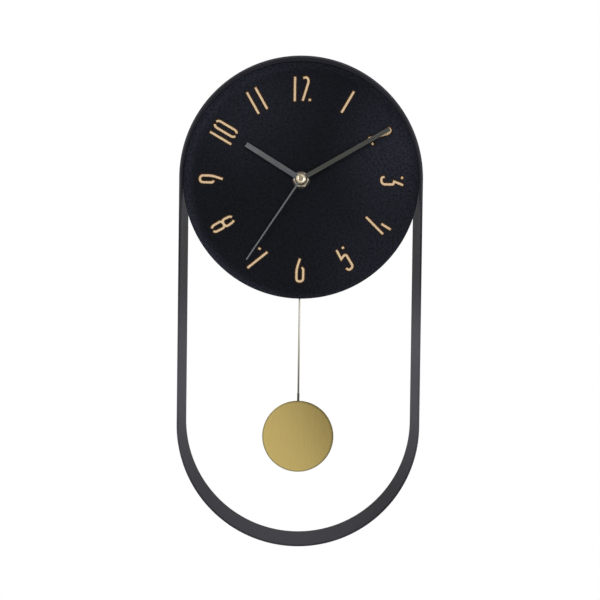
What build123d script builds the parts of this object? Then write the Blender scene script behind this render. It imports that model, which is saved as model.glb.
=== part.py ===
from build123d import *
import math
import os

# Pendulum wall clock. Millimetres, +Z up, +X to the right as seen from the front.
# The wall is the plane Y = 0 and the front faces -Y, so "depth" below is the distance from the wall.
# The origin is the middle of the keyhole's round part, on the wall.

# Frame band: one flat steel strip bent into a tall loop
band_width = 250.0
band_straight = 254.0
band_depth = 45.0
band_sheet = 2.0
band_edge_bevel = 0.3

# Dial board, set back inside the top of the loop
dial_recess = 8.0
dial_sheet = 6.0
dial_gap = 0.3
dial_edge_bevel = 1.2

# Hanger bar with its keyhole, welded across the back of the loop
keyhole_from_top = 50.0
hanger_bar_sheet = 2.0
hanger_bar_margin = 6.0
keyhole_head = 9.0
keyhole_neck = 4.5
keyhole_lift = 8.0

# Dial tabs, welded inside the loop behind the dial board, and their wood screws
tab_bearings = (20.0, 65.0, 115.0, 160.0)
tab_width = 16.0
tab_reach = 18.0
tab_leg = 12.0
tab_sheet = 1.5
tab_screw_inset = 10.0
tab_hole_play = 0.25
screw_shank = 2.9
screw_head = 5.8
screw_head_height = 1.8
screw_head_bevel = 0.9
screw_bite = 4.0

# Bush that clamps the movement to the dial, with its washers and nut
bush_diameter = 8.0
bush_flange = 11.0
bush_flange_sheet = 0.8
bush_stand = 0.2
bush_play = 0.2
rubber_washer_diameter = 20.0
rubber_washer_sheet = 1.0
dial_washer_diameter = 18.0
dial_washer_sheet = 0.5
nut_flats = 14.0
nut_height = 1.7
nut_chamfer = 0.9

# Hands, with the angles clockwise from twelve at which they rest
hand_sheet = 0.5
hand_air = 0.5
pipe_stand = 0.2
hour_hand_length = 67.3
hour_hand_root = 5.4
hour_hand_tip = 5.2
hour_hand_boss = 9.4
hour_hand_angle = 301.7
minute_hand_length = 104.8
minute_hand_root = 4.6
minute_hand_tip = 4.4
minute_hand_boss = 8.4
minute_hand_angle = 59.8
second_hand_length = 100.5
second_hand_root = 1.9
second_hand_tip = 1.4
second_hand_boss = 6.0
second_hand_angle = 213.5
cap_diameter = 9.8
cap_height = 1.1
cap_edge_bevel = 0.6
cap_dimple = 5.6
cap_dimple_depth = 0.35

# Shafts of the movement and their fits
arbor_diameter = 1.0
minute_pipe_diameter = 3.2
hour_pipe_diameter = 5.2
setting_shaft_diameter = 2.0
pivot_pin_diameter = 2.0
running_gap = 0.06
pipe_gap = 0.08

# Movement case: walls, the bay for the AA cell and the inside spacings
case_wall = 1.5
case_corner = 4.0
case_bottom = 80.0
partition_sheet = 1.2
cell_diameter = 14.1
cell_length = 49.2
cell_nub_diameter = 5.3
cell_nub_height = 1.3
cell_play = 0.45
contact_sheet = 0.4
contact_width = 9.0
contact_gap = 0.3
contact_spring_height = 1.1
contact_spring_diameter = 6.0
cradle_sheet = 1.2
cradle_gap = 0.2
clip_width = 8.0
clip_sheet = 1.2
clip_hook = 0.8
clip_lip = 1.0
clip_reach = 6.0
clip_inset = 30.0
train_gap = 1.5
post_diameter = 3.2
pivot_boss_diameter = 3.2
pivot_boss_height = 1.5
pivot_depth = 0.7
pivot_end_play = 0.2

# Teeth: trapezoid flanks, shares of half a tooth pitch at root and tip
addendum = 0.85
dedendum = 1.25
root_share = 0.62
tip_share = 0.22

# Tooth counts and modules of the time train and the motion work
cannon_teeth = 15
minute_wheel_teeth = 45
minute_pinion_teeth = 12
hour_wheel_teeth = 48
motion_module = 0.4
second_pinion_teeth = 8
third_wheel_teeth = 60
third_pinion_teeth = 8
centre_wheel_teeth = 64
third_module = 0.3
fifth_pinion_teeth = 10
second_wheel_teeth = 50
second_module = 0.36
rotor_pinion_teeth = 8
fifth_wheel_teeth = 48
fifth_module = 0.25

# Where the train's arbors stand round the hand axis, in degrees from +X towards +Z
minute_wheel_bearing = 0.0
third_bearing = 135.0
fifth_bearing = 45.0
rotor_bearing = 80.0

# Thicknesses and spacings of the layers of wheels
wheel_sheet = 0.9
layer_gap = 0.5
pinion_overrun = 0.2
end_play = 0.25
collar_sheet = 0.5
collar_diameter = 5.2
clutch_flange_diameter = 6.0
train_plate_sheet = 1.2
plate_margin = 3.0

# Step motor, circuit board and setting knob
magnet_rotor_diameter = 6.0
magnet_rotor_height = 3.0
stator_sheet = 1.0
stator_air = 0.6
stator_limb = 2.2
coil_diameter = 6.4
coil_winding_diameter = 5.4
coil_flange_sheet = 1.0
coil_length = 23.0
core_height = 2.4
board_sheet = 1.0
board_height = 18.0
crystal_diameter = 2.0
crystal_length = 6.0
knob_diameter = 11.0
knob_height = 2.5
knob_flutes = 20
knob_flute_depth = 0.5
knob_gap = 0.3
knob_collar_sheet = 1.0
knob_collar_height = 1.2

# Pendulum: pivot, lever, magnet, wire rod, ferrule and bob
pivot_drop = 40.0
swing = 15.0
lever_sheet = 3.0
lever_hub = 8.0
lever_width = 7.0
lever_tail_width = 5.0
lever_magnet_boss = 12.0
lever_gap = 0.3
lever_slot_play = 1.5
magnet_arm = 22.0
magnet_diameter = 8.0
magnet_height = 3.0
drive_coil_diameter = 16.0
drive_coil_bore = 5.0
drive_coil_height = 4.0
drive_gap = 1.0
drive_post_height = 1.0
eye_below = 6.0
eye_sheet = 2.0
eye_play = 0.6
eye_lip = 2.0
hook_gap = 0.8
hook_tail = 4.0
rod_diameter = 2.0
bob_drop = 268.4
bob_diameter = 75.8
bob_sheet = 1.5
bob_edge_bevel = 0.3
ferrule_diameter = 2.8
ferrule_stub = 8.0
ferrule_length = 44.0
ferrule_foot_width = 8.0
ferrule_foot_sheet = 0.8
ferrule_foot_length = 26.0

# The hand axis, as x and z seen from the front: the centre of the loop's top arc
axis = (0.0, keyhole_from_top - band_width / 2)


def slab(outline, back, front):
    """An outline, drawn as seen from the front, filled between two depths."""
    return extrude(Plane.XZ.offset(back) * outline, front - back)


def disc(diameter, back, front, centre):
    """A round slab about a point given as x and z."""
    return slab(Pos(*centre) * Circle(diameter / 2), back, front)


def tube(outer, bore, back, front, centre):
    """A ring-shaped slab."""
    return slab(Pos(*centre) * (Circle(outer / 2) - Circle(bore / 2)), back, front)


def polar(centre, radius, degrees):
    """The point at a radius and bearing from a centre."""
    angle = math.radians(degrees)
    return (centre[0] + radius * math.cos(angle), centre[1] + radius * math.sin(angle))


def bar_along_x(diameter, start, length, depth, height):
    """A round bar along X."""
    return extrude(Plane.YZ.offset(start) * Pos(-depth, height) * Circle(diameter / 2), length)


def tip_radius(teeth, module):
    """Outer radius of a gear."""
    return module * (teeth / 2 + addendum)


def gear(teeth, module, back, front, centre, phase):
    """A spur gear; phase is the bearing of one tooth's middle, in degrees."""
    root = module * (teeth / 2 - dedendum)
    tip = tip_radius(teeth, module)
    half_pitch = 180.0 / teeth
    corners = ((root, -root_share), (tip, -tip_share), (tip, tip_share), (root, root_share))
    points = [
        polar((0, 0), radius, phase + half_pitch * (2 * tooth + share))
        for tooth in range(teeth)
        for radius, share in corners
    ]
    return slab(Pos(*centre) * make_face(Polyline(*points, close=True)), back, front)


def meshed_phase(phase, teeth, other_teeth, bearing):
    """Phase of the other gear that meshes with one at the given phase; bearing leads from it to the other."""
    return bearing + 180.0 - (phase - bearing) * teeth / other_teeth - 180.0 / other_teeth


def hand(length, root, tip, boss, bore, back, sheet, angle):
    """A straight tapered hand with a round boss, turned clockwise from twelve."""
    blade = Polygon((-root / 2, 0), (root / 2, 0), (tip / 2, length), (-tip / 2, length), align=None)
    outline = blade + Circle(boss / 2) - Circle(bore / 2)
    return slab(Pos(*axis) * Rot(0, 0, -angle) * outline, back, back + sheet)


def stadium(width):
    """The loop's outline at a width across its straight sides."""
    return Pos(0, axis[1] - band_straight / 2) * Rot(0, 0, 90) * SlotCenterToCenter(band_straight, width)


# Depths from the wall, from the front rim back to the movement
dial_face = band_depth - dial_recess
dial_back = dial_face - dial_sheet
case_front = dial_back - rubber_washer_sheet
plate_front = case_front - case_wall
cover_front = plate_front - cell_diameter - 2 * cell_play
case_back = cover_front - case_wall
nut_back = dial_face + dial_washer_sheet
nut_front = nut_back + nut_height
bush_front = nut_front + bush_stand
hour_hand_back = bush_front + pipe_stand
hour_pipe_front = hour_hand_back + hand_sheet + pipe_stand
minute_hand_back = hour_hand_back + hand_sheet + hand_air
minute_pipe_front = minute_hand_back + hand_sheet + pipe_stand
second_hand_back = minute_hand_back + hand_sheet + hand_air
cap_back = second_hand_back + hand_sheet

# Depths of the layers of wheels, from the front plate back to the cover
flange_back = plate_front - bush_flange_sheet
hour_wheel_front = flange_back - end_play
hour_wheel_back = hour_wheel_front - wheel_sheet
minute_wheel_front = hour_wheel_back - layer_gap
minute_wheel_back = minute_wheel_front - wheel_sheet
train_plate_front = minute_wheel_back - layer_gap
train_plate_back = train_plate_front - train_plate_sheet
clutch_front = train_plate_back - end_play
clutch_back = clutch_front - collar_sheet
centre_wheel_front = clutch_back - running_gap
centre_wheel_back = centre_wheel_front - wheel_sheet
collar_front = centre_wheel_back - running_gap
collar_back = collar_front - collar_sheet
third_wheel_front = collar_back - layer_gap
third_wheel_back = third_wheel_front - wheel_sheet
second_wheel_front = third_wheel_back - layer_gap
second_wheel_back = second_wheel_front - wheel_sheet
fifth_wheel_front = second_wheel_back - layer_gap
fifth_wheel_back = fifth_wheel_front - wheel_sheet
pivot_back = cover_front - pivot_depth
pivot_floor = pivot_back - pivot_end_play
arbor_front = train_plate_front - pivot_end_play
fifth_pinion_front = second_wheel_front + pinion_overrun
stator_back = fifth_pinion_front + layer_gap
stator_front = stator_back + stator_sheet
coil_depth = (stator_back + stator_front) / 2
rotor_magnet_back = coil_depth - magnet_rotor_height / 2
rotor_magnet_front = coil_depth + magnet_rotor_height / 2

# Depths of the pendulum drive, from the front plate back
drive_coil_front = plate_front - drive_post_height
drive_coil_back = drive_coil_front - drive_coil_height
lever_front = drive_coil_back - drive_gap - magnet_height
lever_back = lever_front - lever_sheet
lever_middle = (lever_front + lever_back) / 2
hook_radius = eye_sheet / 2 + rod_diameter / 2 + hook_gap
rod_depth = lever_middle + hook_radius
bob_back = rod_depth + ferrule_diameter / 2
bob_front = bob_back + bob_sheet

# Places seen from the front, as x and z
motion_distance = motion_module * (cannon_teeth + minute_wheel_teeth) / 2
third_distance = third_module * (second_pinion_teeth + third_wheel_teeth) / 2
fifth_distance = second_module * (fifth_pinion_teeth + second_wheel_teeth) / 2
rotor_distance = fifth_module * (rotor_pinion_teeth + fifth_wheel_teeth) / 2
hour_module = 2 * motion_distance / (minute_pinion_teeth + hour_wheel_teeth)
centre_module = 2 * third_distance / (third_pinion_teeth + centre_wheel_teeth)
minute_wheel_at = polar(axis, motion_distance, minute_wheel_bearing)
third_at = polar(axis, third_distance, third_bearing)
fifth_at = polar(axis, fifth_distance, fifth_bearing)
rotor_at = polar(fifth_at, rotor_distance, rotor_bearing)
hour_wheel_tip = tip_radius(hour_wheel_teeth, hour_module)
minute_wheel_tip = tip_radius(minute_wheel_teeth, motion_module)
third_wheel_top = third_at[1] + tip_radius(third_wheel_teeth, third_module)
inner_radius = band_width / 2 - band_sheet
dial_radius = inner_radius - dial_gap
pivot_at = (0.0, axis[1] - pivot_drop)
magnet_at = (0.0, pivot_at[1] - magnet_arm)
bob_at = (0.0, axis[1] - bob_drop)

# Movement case outline, sized by the cell's length and by what lies above and below the cell
stator_arm_z = third_wheel_top + train_gap + stator_limb / 2
coil_z = stator_arm_z + stator_limb / 2 + layer_gap + coil_diameter / 2
case_top_z = coil_z + coil_diameter / 2 + train_gap + case_wall
case_bottom_z = axis[1] - case_bottom
case_middle = (0.0, (case_top_z + case_bottom_z) / 2)
case_height = case_top_z - case_bottom_z
bay_width = cell_length + cell_nub_height + 2 * contact_sheet + contact_spring_height + 2 * contact_gap
bay_left = -bay_width / 2
case_width = bay_width + 2 * case_wall
cell_z = axis[1] - hour_wheel_tip - train_gap - partition_sheet - cell_play - cell_diameter / 2
cell_depth = (plate_front + cover_front) / 2
bay_height = cell_diameter + 2 * cell_play

# Frame band
frame_band = slab(stadium(band_width) - stadium(band_width - 2 * band_sheet), 0, band_depth)
frame_band = chamfer(frame_band.edges().group_by(Axis.Y)[0], band_edge_bevel)

# Hanger bar: a chord of the loop, its ends cut to the strip's inner curve
keyhole = Circle(keyhole_head / 2)
keyhole += Pos(0, keyhole_lift / 2) * Rectangle(keyhole_neck, keyhole_lift)
keyhole += Pos(0, keyhole_lift) * Circle(keyhole_neck / 2)
keyhole_top = keyhole_lift + keyhole_neck / 2
keyhole_bottom = -keyhole_head / 2
hanger_bar_height = keyhole_top - keyhole_bottom + 2 * hanger_bar_margin
hanger_strip = Pos(0, (keyhole_top + keyhole_bottom) / 2) * Rectangle(band_width, hanger_bar_height)
hanger_bar = slab(hanger_strip & Pos(*axis) * Circle(inner_radius), 0, hanger_bar_sheet)
hanger_bar -= slab(keyhole, 0, hanger_bar_sheet)

# Dial tabs: a leg against the strip and a flange behind the dial board, each with one wood screw
tab_flange_back = dial_back - tab_sheet
tab_strip = Pos(0, inner_radius / 2) * Rectangle(tab_width, inner_radius)
tab_flange = tab_strip & (Circle(inner_radius) - Circle(inner_radius - tab_reach))
tab_upright = tab_strip & (Circle(inner_radius) - Circle(inner_radius - tab_sheet))
screw_spot = Pos(0, inner_radius - tab_screw_inset)
tab_hole = screw_spot * Circle(screw_shank / 2 + tab_hole_play)
screw_front = dial_back + screw_bite
dial_tab_solids = []
tab_screw_solids = []
pilot_holes = []
for bearing in tab_bearings:
    turn = Pos(*axis) * Rot(0, 0, bearing - 90)
    leg = slab(turn * tab_upright, tab_flange_back - tab_leg, dial_back)
    flange = slab(turn * (tab_flange - tab_hole), tab_flange_back, dial_back)
    dial_tab_solids.append(leg + flange)
    shank = slab(turn * screw_spot * Circle(screw_shank / 2), tab_flange_back, screw_front)
    head = slab(turn * screw_spot * Circle(screw_head / 2), tab_flange_back - screw_head_height, tab_flange_back)
    head_rim = head.edges().group_by(Axis.Y)[-1]
    tab_screw_solids.append(chamfer(head_rim, screw_head_bevel) + shank)
    pilot_holes.append(slab(turn * screw_spot * Circle(screw_shank / 2), dial_back, screw_front))

# Dial board, with a bevelled front edge, the bush hole and the screws' pilot holes
dial_board = disc(2 * dial_radius, dial_back, dial_face, axis)
dial_board = chamfer(dial_board.edges().group_by(Axis.Y)[0], dial_edge_bevel)
dial_board -= disc(bush_diameter + 2 * bush_play, dial_back, dial_face, axis)
for hole in pilot_holes:
    dial_board -= hole

# Bush and what clamps on it
bush_bore = hour_pipe_diameter + 2 * pipe_gap
threaded_bush = tube(bush_diameter, bush_bore, plate_front, bush_front, axis)
threaded_bush += tube(bush_flange, bush_bore, flange_back, plate_front, axis)
rubber_washer = tube(rubber_washer_diameter, bush_diameter + 2 * bush_play, case_front, dial_back, axis)
dial_washer = tube(dial_washer_diameter, bush_diameter + 2 * bush_play, dial_face, nut_back, axis)
nut_blank = disc(nut_flats / math.cos(math.radians(30)), nut_back, nut_front, axis)
nut_blank = chamfer(nut_blank.edges().group_by(Axis.Y)[0], nut_chamfer / 2, nut_chamfer)
nut_outline = RegularPolygon(nut_flats / 2, 6, major_radius=False) - Circle(bush_diameter / 2)
fixing_nut = slab(Pos(*axis) * nut_outline, nut_back, nut_front) & nut_blank

# Hands
hour_hand = hand(
    hour_hand_length, hour_hand_root, hour_hand_tip, hour_hand_boss,
    hour_pipe_diameter, hour_hand_back, hand_sheet, hour_hand_angle,
)
minute_hand = hand(
    minute_hand_length, minute_hand_root, minute_hand_tip, minute_hand_boss,
    minute_pipe_diameter, minute_hand_back, hand_sheet, minute_hand_angle,
)
second_hand = hand(
    second_hand_length, second_hand_root, second_hand_tip, second_hand_boss,
    arbor_diameter, second_hand_back, hand_sheet, second_hand_angle,
)
cap_front = cap_back + cap_height
second_arbor_front = cap_back + cap_height / 2
second_cap = disc(cap_diameter, cap_back, cap_front, axis)
second_cap = chamfer(second_cap.edges().group_by(Axis.Y)[0], cap_edge_bevel)
second_cap -= disc(cap_dimple, cap_front - cap_dimple_depth, cap_front, axis)
second_cap -= disc(arbor_diameter, cap_back, second_arbor_front, axis)

# Hour wheel and pipe, minute arbor with its cannon pinion and clutch seat, centre wheel
minute_phase = meshed_phase(0.0, cannon_teeth, minute_wheel_teeth, minute_wheel_bearing)
hour_phase = meshed_phase(0.0, minute_pinion_teeth, hour_wheel_teeth, minute_wheel_bearing + 180.0)
hour_wheel = gear(hour_wheel_teeth, hour_module, hour_wheel_back, hour_wheel_front, axis, hour_phase)
hour_wheel += disc(hour_pipe_diameter, hour_wheel_back, hour_pipe_front, axis)
hour_wheel -= disc(minute_pipe_diameter + 2 * pipe_gap, hour_wheel_back, hour_pipe_front, axis)
minute_arbor = disc(minute_pipe_diameter, collar_back, minute_pipe_front, axis)
minute_arbor += disc(collar_diameter, collar_back, collar_front, axis)
minute_arbor += disc(clutch_flange_diameter, clutch_back, clutch_front, axis)
cannon_back = minute_wheel_back - pinion_overrun
cannon_front = minute_wheel_front + pinion_overrun
minute_arbor += gear(cannon_teeth, motion_module, cannon_back, cannon_front, axis, 0.0)
minute_arbor -= disc(arbor_diameter + 2 * pipe_gap, collar_back, minute_pipe_front, axis)
centre_phase = meshed_phase(0.0, third_pinion_teeth, centre_wheel_teeth, third_bearing + 180.0)
centre_wheel = gear(
    centre_wheel_teeth, centre_module, centre_wheel_back, centre_wheel_front, axis, centre_phase
)
centre_wheel -= disc(minute_pipe_diameter + 2 * running_gap, centre_wheel_back, centre_wheel_front, axis)

# Minute wheel with its pinion, carried by the setting knob's shaft
minute_wheel = gear(
    minute_wheel_teeth, motion_module, minute_wheel_back, minute_wheel_front, minute_wheel_at, minute_phase
)
minute_wheel += gear(
    minute_pinion_teeth, hour_module, minute_wheel_front, hour_wheel_front, minute_wheel_at, 0.0
)
minute_wheel -= disc(setting_shaft_diameter, minute_wheel_back, hour_wheel_front, minute_wheel_at)
setting_shaft_front = plate_front + case_wall / 2
knob_front = case_back - knob_gap
knob_back = knob_front - knob_height
flute_module = knob_flute_depth / (addendum + dedendum)
knob_teeth_radius = knob_diameter / 2 - addendum * flute_module
setting_knob = gear(knob_flutes, 2 * knob_teeth_radius / knob_flutes, knob_back, knob_front, minute_wheel_at, 0.0)
setting_knob &= disc(knob_diameter, knob_back, knob_front, minute_wheel_at)
setting_knob += disc(
    knob_diameter - 2 * knob_flute_depth, knob_back, knob_front, minute_wheel_at
)
setting_knob += disc(setting_shaft_diameter, knob_front, setting_shaft_front, minute_wheel_at)

# Time train: each wheel with its pinion on one arbor
second_wheel_phase = meshed_phase(0.0, fifth_pinion_teeth, second_wheel_teeth, fifth_bearing + 180.0)
second_pinion_front = third_wheel_front + pinion_overrun
second_wheel = gear(
    second_wheel_teeth, second_module, second_wheel_back, second_wheel_front, axis, second_wheel_phase
)
second_wheel += gear(second_pinion_teeth, third_module, second_wheel_front, second_pinion_front, axis, 0.0)
second_wheel += disc(arbor_diameter, pivot_back, second_arbor_front, axis)
third_wheel_phase = meshed_phase(0.0, second_pinion_teeth, third_wheel_teeth, third_bearing)
third_pinion_front = centre_wheel_front + pinion_overrun
third_wheel = gear(
    third_wheel_teeth, third_module, third_wheel_back, third_wheel_front, third_at, third_wheel_phase
)
third_wheel += gear(third_pinion_teeth, centre_module, third_wheel_front, third_pinion_front, third_at, 0.0)
third_wheel += disc(arbor_diameter, pivot_back, arbor_front, third_at)
fifth_wheel_phase = meshed_phase(0.0, rotor_pinion_teeth, fifth_wheel_teeth, rotor_bearing + 180.0)
fifth_wheel = gear(
    fifth_wheel_teeth, fifth_module, fifth_wheel_back, fifth_wheel_front, fifth_at, fifth_wheel_phase
)
fifth_wheel += gear(fifth_pinion_teeth, second_module, fifth_wheel_front, fifth_pinion_front, fifth_at, 0.0)
fifth_wheel += disc(arbor_diameter, pivot_back, arbor_front, fifth_at)

# Step motor: rotor, stator with its core limb, and the coil round that limb
rotor_pinion_back = fifth_wheel_back - pinion_overrun
rotor_pinion_front = fifth_wheel_front + pinion_overrun
rotor_pinion = gear(
    rotor_pinion_teeth, fifth_module, rotor_pinion_back, rotor_pinion_front, rotor_at, 0.0
)
rotor_pinion += disc(arbor_diameter, pivot_back, arbor_front, rotor_at)
rotor_magnet = tube(magnet_rotor_diameter, arbor_diameter, rotor_magnet_back, rotor_magnet_front, rotor_at)
stator_eye = magnet_rotor_diameter + 2 * stator_air
yoke_half = stator_eye / 2 + stator_limb
yoke_left = rotor_at[0] - yoke_half
yoke_right = rotor_at[0] + yoke_half
coil_right = yoke_left - layer_gap
coil_left = coil_right - coil_length
limb_left = coil_left - layer_gap - stator_limb
core_top = coil_z + core_height / 2
core_bottom = coil_z - core_height / 2
arm_bottom = stator_arm_z - stator_limb / 2


def rectangle_between(left, bottom, right, top):
    """A rectangle from its left, bottom, right and top edges."""
    return Pos((left + right) / 2, (bottom + top) / 2) * Rectangle(right - left, top - bottom)


stator_outline = rectangle_between(yoke_left, rotor_at[1], yoke_right, core_top)
stator_outline += Pos(*rotor_at) * Circle(yoke_half)
stator_outline += rectangle_between(limb_left, core_bottom, yoke_right, core_top)
stator_outline += rectangle_between(limb_left, arm_bottom, limb_left + stator_limb, core_top)
stator_outline += rectangle_between(limb_left, arm_bottom, rotor_at[0], arm_bottom + stator_limb)
stator_outline -= Pos(*rotor_at) * Circle(stator_eye / 2)
stator = slab(stator_outline, stator_back, stator_front)
motor_coil = bar_along_x(coil_winding_diameter, coil_left, coil_length, coil_depth, coil_z)
motor_coil += bar_along_x(coil_diameter, coil_left, coil_flange_sheet, coil_depth, coil_z)
motor_coil += bar_along_x(coil_diameter, coil_right - coil_flange_sheet, coil_flange_sheet, coil_depth, coil_z)
motor_coil -= slab(
    rectangle_between(coil_left, core_bottom, coil_right, core_top), stator_back, stator_front
)

# Circuit board beside the train plate, with the crystal on its back
train_left = axis[0] - hour_wheel_tip - plate_margin
board_left = bay_left + contact_gap
board_width = train_left - layer_gap - board_left
board_at = (board_left + board_width / 2, axis[1])
board_front = train_plate_front
board_back = board_front - board_sheet
circuit_board = slab(Pos(*board_at) * Rectangle(board_width, board_height), board_back, board_front)
crystal_start = board_at[1] - crystal_length / 2
crystal_depth = board_back - crystal_diameter / 2
crystal_plane = Plane.XY.offset(crystal_start) * Pos(board_at[0] - board_width / 4, -crystal_depth)
quartz_crystal = extrude(crystal_plane * Circle(crystal_diameter / 2), crystal_length)

# Train plate: front bearings of the arbors, on four posts of the front case
train_right = minute_wheel_at[0] + minute_wheel_tip + plate_margin
train_bottom = axis[1] - hour_wheel_tip
train_top = rotor_at[1] + plate_margin
train_outline = rectangle_between(train_left, train_bottom, train_right, train_top)
post_inset = post_diameter / 2
post_spots = [
    (x, z)
    for x in (train_left + post_inset, train_right - post_inset)
    for z in (train_bottom + post_inset, train_top - post_inset)
]
train_plate = slab(train_outline, train_plate_back, train_plate_front)
for spot in (third_at, fifth_at, rotor_at):
    train_plate -= disc(arbor_diameter + 2 * running_gap, train_plate_back, train_plate_front, spot)
train_plate -= disc(minute_pipe_diameter + 2 * pipe_gap, train_plate_back, train_plate_front, axis)
shaft_hole = setting_shaft_diameter + 2 * running_gap
train_plate -= disc(shaft_hole, train_plate_back, train_plate_front, minute_wheel_at)

# Front case: an open-backed box with the cell's bay, posts, clips and the pendulum's slot
case_outline = Pos(*case_middle) * RectangleRounded(case_width, case_height, case_corner)
hollow_outline = Pos(*case_middle) * RectangleRounded(
    bay_width, case_height - 2 * case_wall, case_corner - case_wall
)
cell_top_z = cell_z + bay_height / 2
cell_bottom_z = cell_z - bay_height / 2
upper_partition = rectangle_between(bay_left, cell_top_z, -bay_left, cell_top_z + partition_sheet)
lower_partition = rectangle_between(bay_left, cell_bottom_z - partition_sheet, -bay_left, cell_bottom_z)
front_case = slab(case_outline, cover_front, case_front) - slab(hollow_outline, cover_front, plate_front)
front_case += slab(upper_partition + lower_partition, cover_front, plate_front)
for spot in post_spots:
    front_case += disc(post_diameter, train_plate_front, plate_front, spot)
front_case += disc(post_diameter, board_front, plate_front, board_at)
for spot in ((limb_left + stator_limb / 2, coil_z), (yoke_right - stator_limb, coil_z)):
    front_case += disc(stator_limb, stator_front, plate_front, spot)
front_case += disc(drive_coil_bore, drive_coil_back, plate_front, magnet_at)
front_case += disc(drive_coil_bore + 2 * case_wall, drive_coil_front, plate_front, magnet_at)
front_case += disc(lever_hub, lever_front + lever_gap, plate_front, pivot_at)
front_case -= disc(pivot_pin_diameter, lever_front + lever_gap, plate_front + pivot_depth, pivot_at)
front_case -= disc(bush_diameter, plate_front, case_front, axis)
front_case -= disc(shaft_hole, plate_front, setting_shaft_front + pivot_end_play, minute_wheel_at)
cell_room = bar_along_x(cell_diameter + 2 * cradle_gap, bay_left, bay_width, cell_depth, cell_z)
for x in (-cell_length / 4, cell_length / 4):
    rib = rectangle_between(x - cradle_sheet / 2, cell_bottom_z, x + cradle_sheet / 2, cell_top_z)
    front_case += slab(rib, cell_depth, plate_front) - cell_room
case_side = case_width / 2
clip_arm = rectangle_between(case_side, -clip_width / 2, case_side + clip_sheet, clip_width / 2)
clip_tooth = rectangle_between(case_side - clip_lip, -clip_width / 2, case_side + clip_sheet, clip_width / 2)
for z in (case_top_z - clip_inset, case_bottom_z + clip_inset):
    for side in (0, 180):
        spot = Pos(0, z) * Rot(0, 0, side)
        front_case += slab(spot * clip_arm, case_back, cover_front + clip_reach)
        front_case += slab(spot * clip_tooth, case_back - clip_hook, case_back)
slot_half = (case_bottom - pivot_drop) * math.tan(math.radians(swing)) + lever_tail_width / 2 + lever_slot_play
lever_slot = rectangle_between(-slot_half, case_bottom_z, slot_half, case_bottom_z + case_wall)
front_case -= slab(lever_slot, cover_front, lever_front + lever_slot_play)

# Back cover: the plate behind, with the bearings, the knob's hole and the opening for the cell
back_cover = slab(case_outline, case_back, cover_front)
back_cover -= slab(rectangle_between(bay_left, cell_bottom_z, -bay_left, cell_top_z), case_back, cover_front)
pivot_boss_front = cover_front + pivot_boss_height
for spot in (axis, third_at, fifth_at, rotor_at):
    back_cover += disc(pivot_boss_diameter, cover_front, pivot_boss_front, spot)
    back_cover -= disc(arbor_diameter + 2 * running_gap, pivot_floor, pivot_boss_front, spot)
back_cover -= disc(shaft_hole, case_back, cover_front, minute_wheel_at)
collar_bore = knob_diameter + 2 * knob_gap
collar_outer = collar_bore + 2 * knob_collar_sheet
back_cover += tube(collar_outer, collar_bore, case_back - knob_collar_height, case_back, minute_wheel_at)
back_cover += disc(lever_hub, cover_front, lever_back - lever_gap, pivot_at)
back_cover -= disc(pivot_pin_diameter, cover_front - pivot_depth, lever_back - lever_gap, pivot_at)

# AA cell lying across the case, between its two contacts
positive_face = bay_left + contact_sheet
cell_start = positive_face + contact_gap
cell_body_start = cell_start + cell_nub_height
battery_cell = bar_along_x(cell_nub_diameter, cell_start, cell_nub_height, cell_depth, cell_z)
battery_cell += bar_along_x(cell_diameter, cell_body_start, cell_length, cell_depth, cell_z)
contact_bottom = cell_z - contact_width / 2
contact_top = cell_z + contact_width / 2
contact_positive = slab(
    rectangle_between(bay_left, contact_bottom, positive_face, contact_top), cover_front, plate_front
)
negative_face = -bay_left - contact_sheet
contact_negative = slab(
    rectangle_between(negative_face, contact_bottom, -bay_left, contact_top), cover_front, plate_front
)
spring_start = negative_face - contact_spring_height
contact_negative += bar_along_x(
    contact_spring_diameter, spring_start, contact_spring_height, cell_depth, cell_z
)

# Pendulum drive: coil on the front case, pivot pin, lever and magnet
drive_coil = tube(drive_coil_diameter, drive_coil_bore, drive_coil_back, drive_coil_front, magnet_at)
pivot_pin = disc(pivot_pin_diameter, cover_front - pivot_depth, plate_front + pivot_depth, pivot_at)
eye_z = case_bottom_z - eye_below
eye_diameter = rod_diameter + 2 * eye_play
eye_end = eye_z - eye_diameter / 2 - eye_lip
tail_shoulder = case_bottom_z
lever_outline = Pos(*pivot_at) * Circle(lever_hub / 2)
lever_outline += rectangle_between(-lever_width / 2, magnet_at[1], lever_width / 2, pivot_at[1])
lever_outline += Pos(*magnet_at) * Circle(lever_magnet_boss / 2)
tail_half = lever_tail_width / 2
lever_outline += rectangle_between(-tail_half, tail_shoulder, tail_half, magnet_at[1])
lever_outline -= Pos(*pivot_at) * Circle(pivot_pin_diameter / 2 + running_gap)
eye_outline = rectangle_between(-tail_half, eye_end, tail_half, tail_shoulder)
eye_outline = fillet(eye_outline.vertices().group_by(Axis.Y)[0], lever_tail_width / 4)
eye_outline -= Pos(0, eye_z) * Circle(eye_diameter / 2)
pendulum_lever = slab(lever_outline, lever_back, lever_front)
pendulum_lever += slab(eye_outline, lever_middle - eye_sheet / 2, lever_middle + eye_sheet / 2)
pendulum_magnet = disc(magnet_diameter, lever_front, lever_front + magnet_height, magnet_at)

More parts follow.
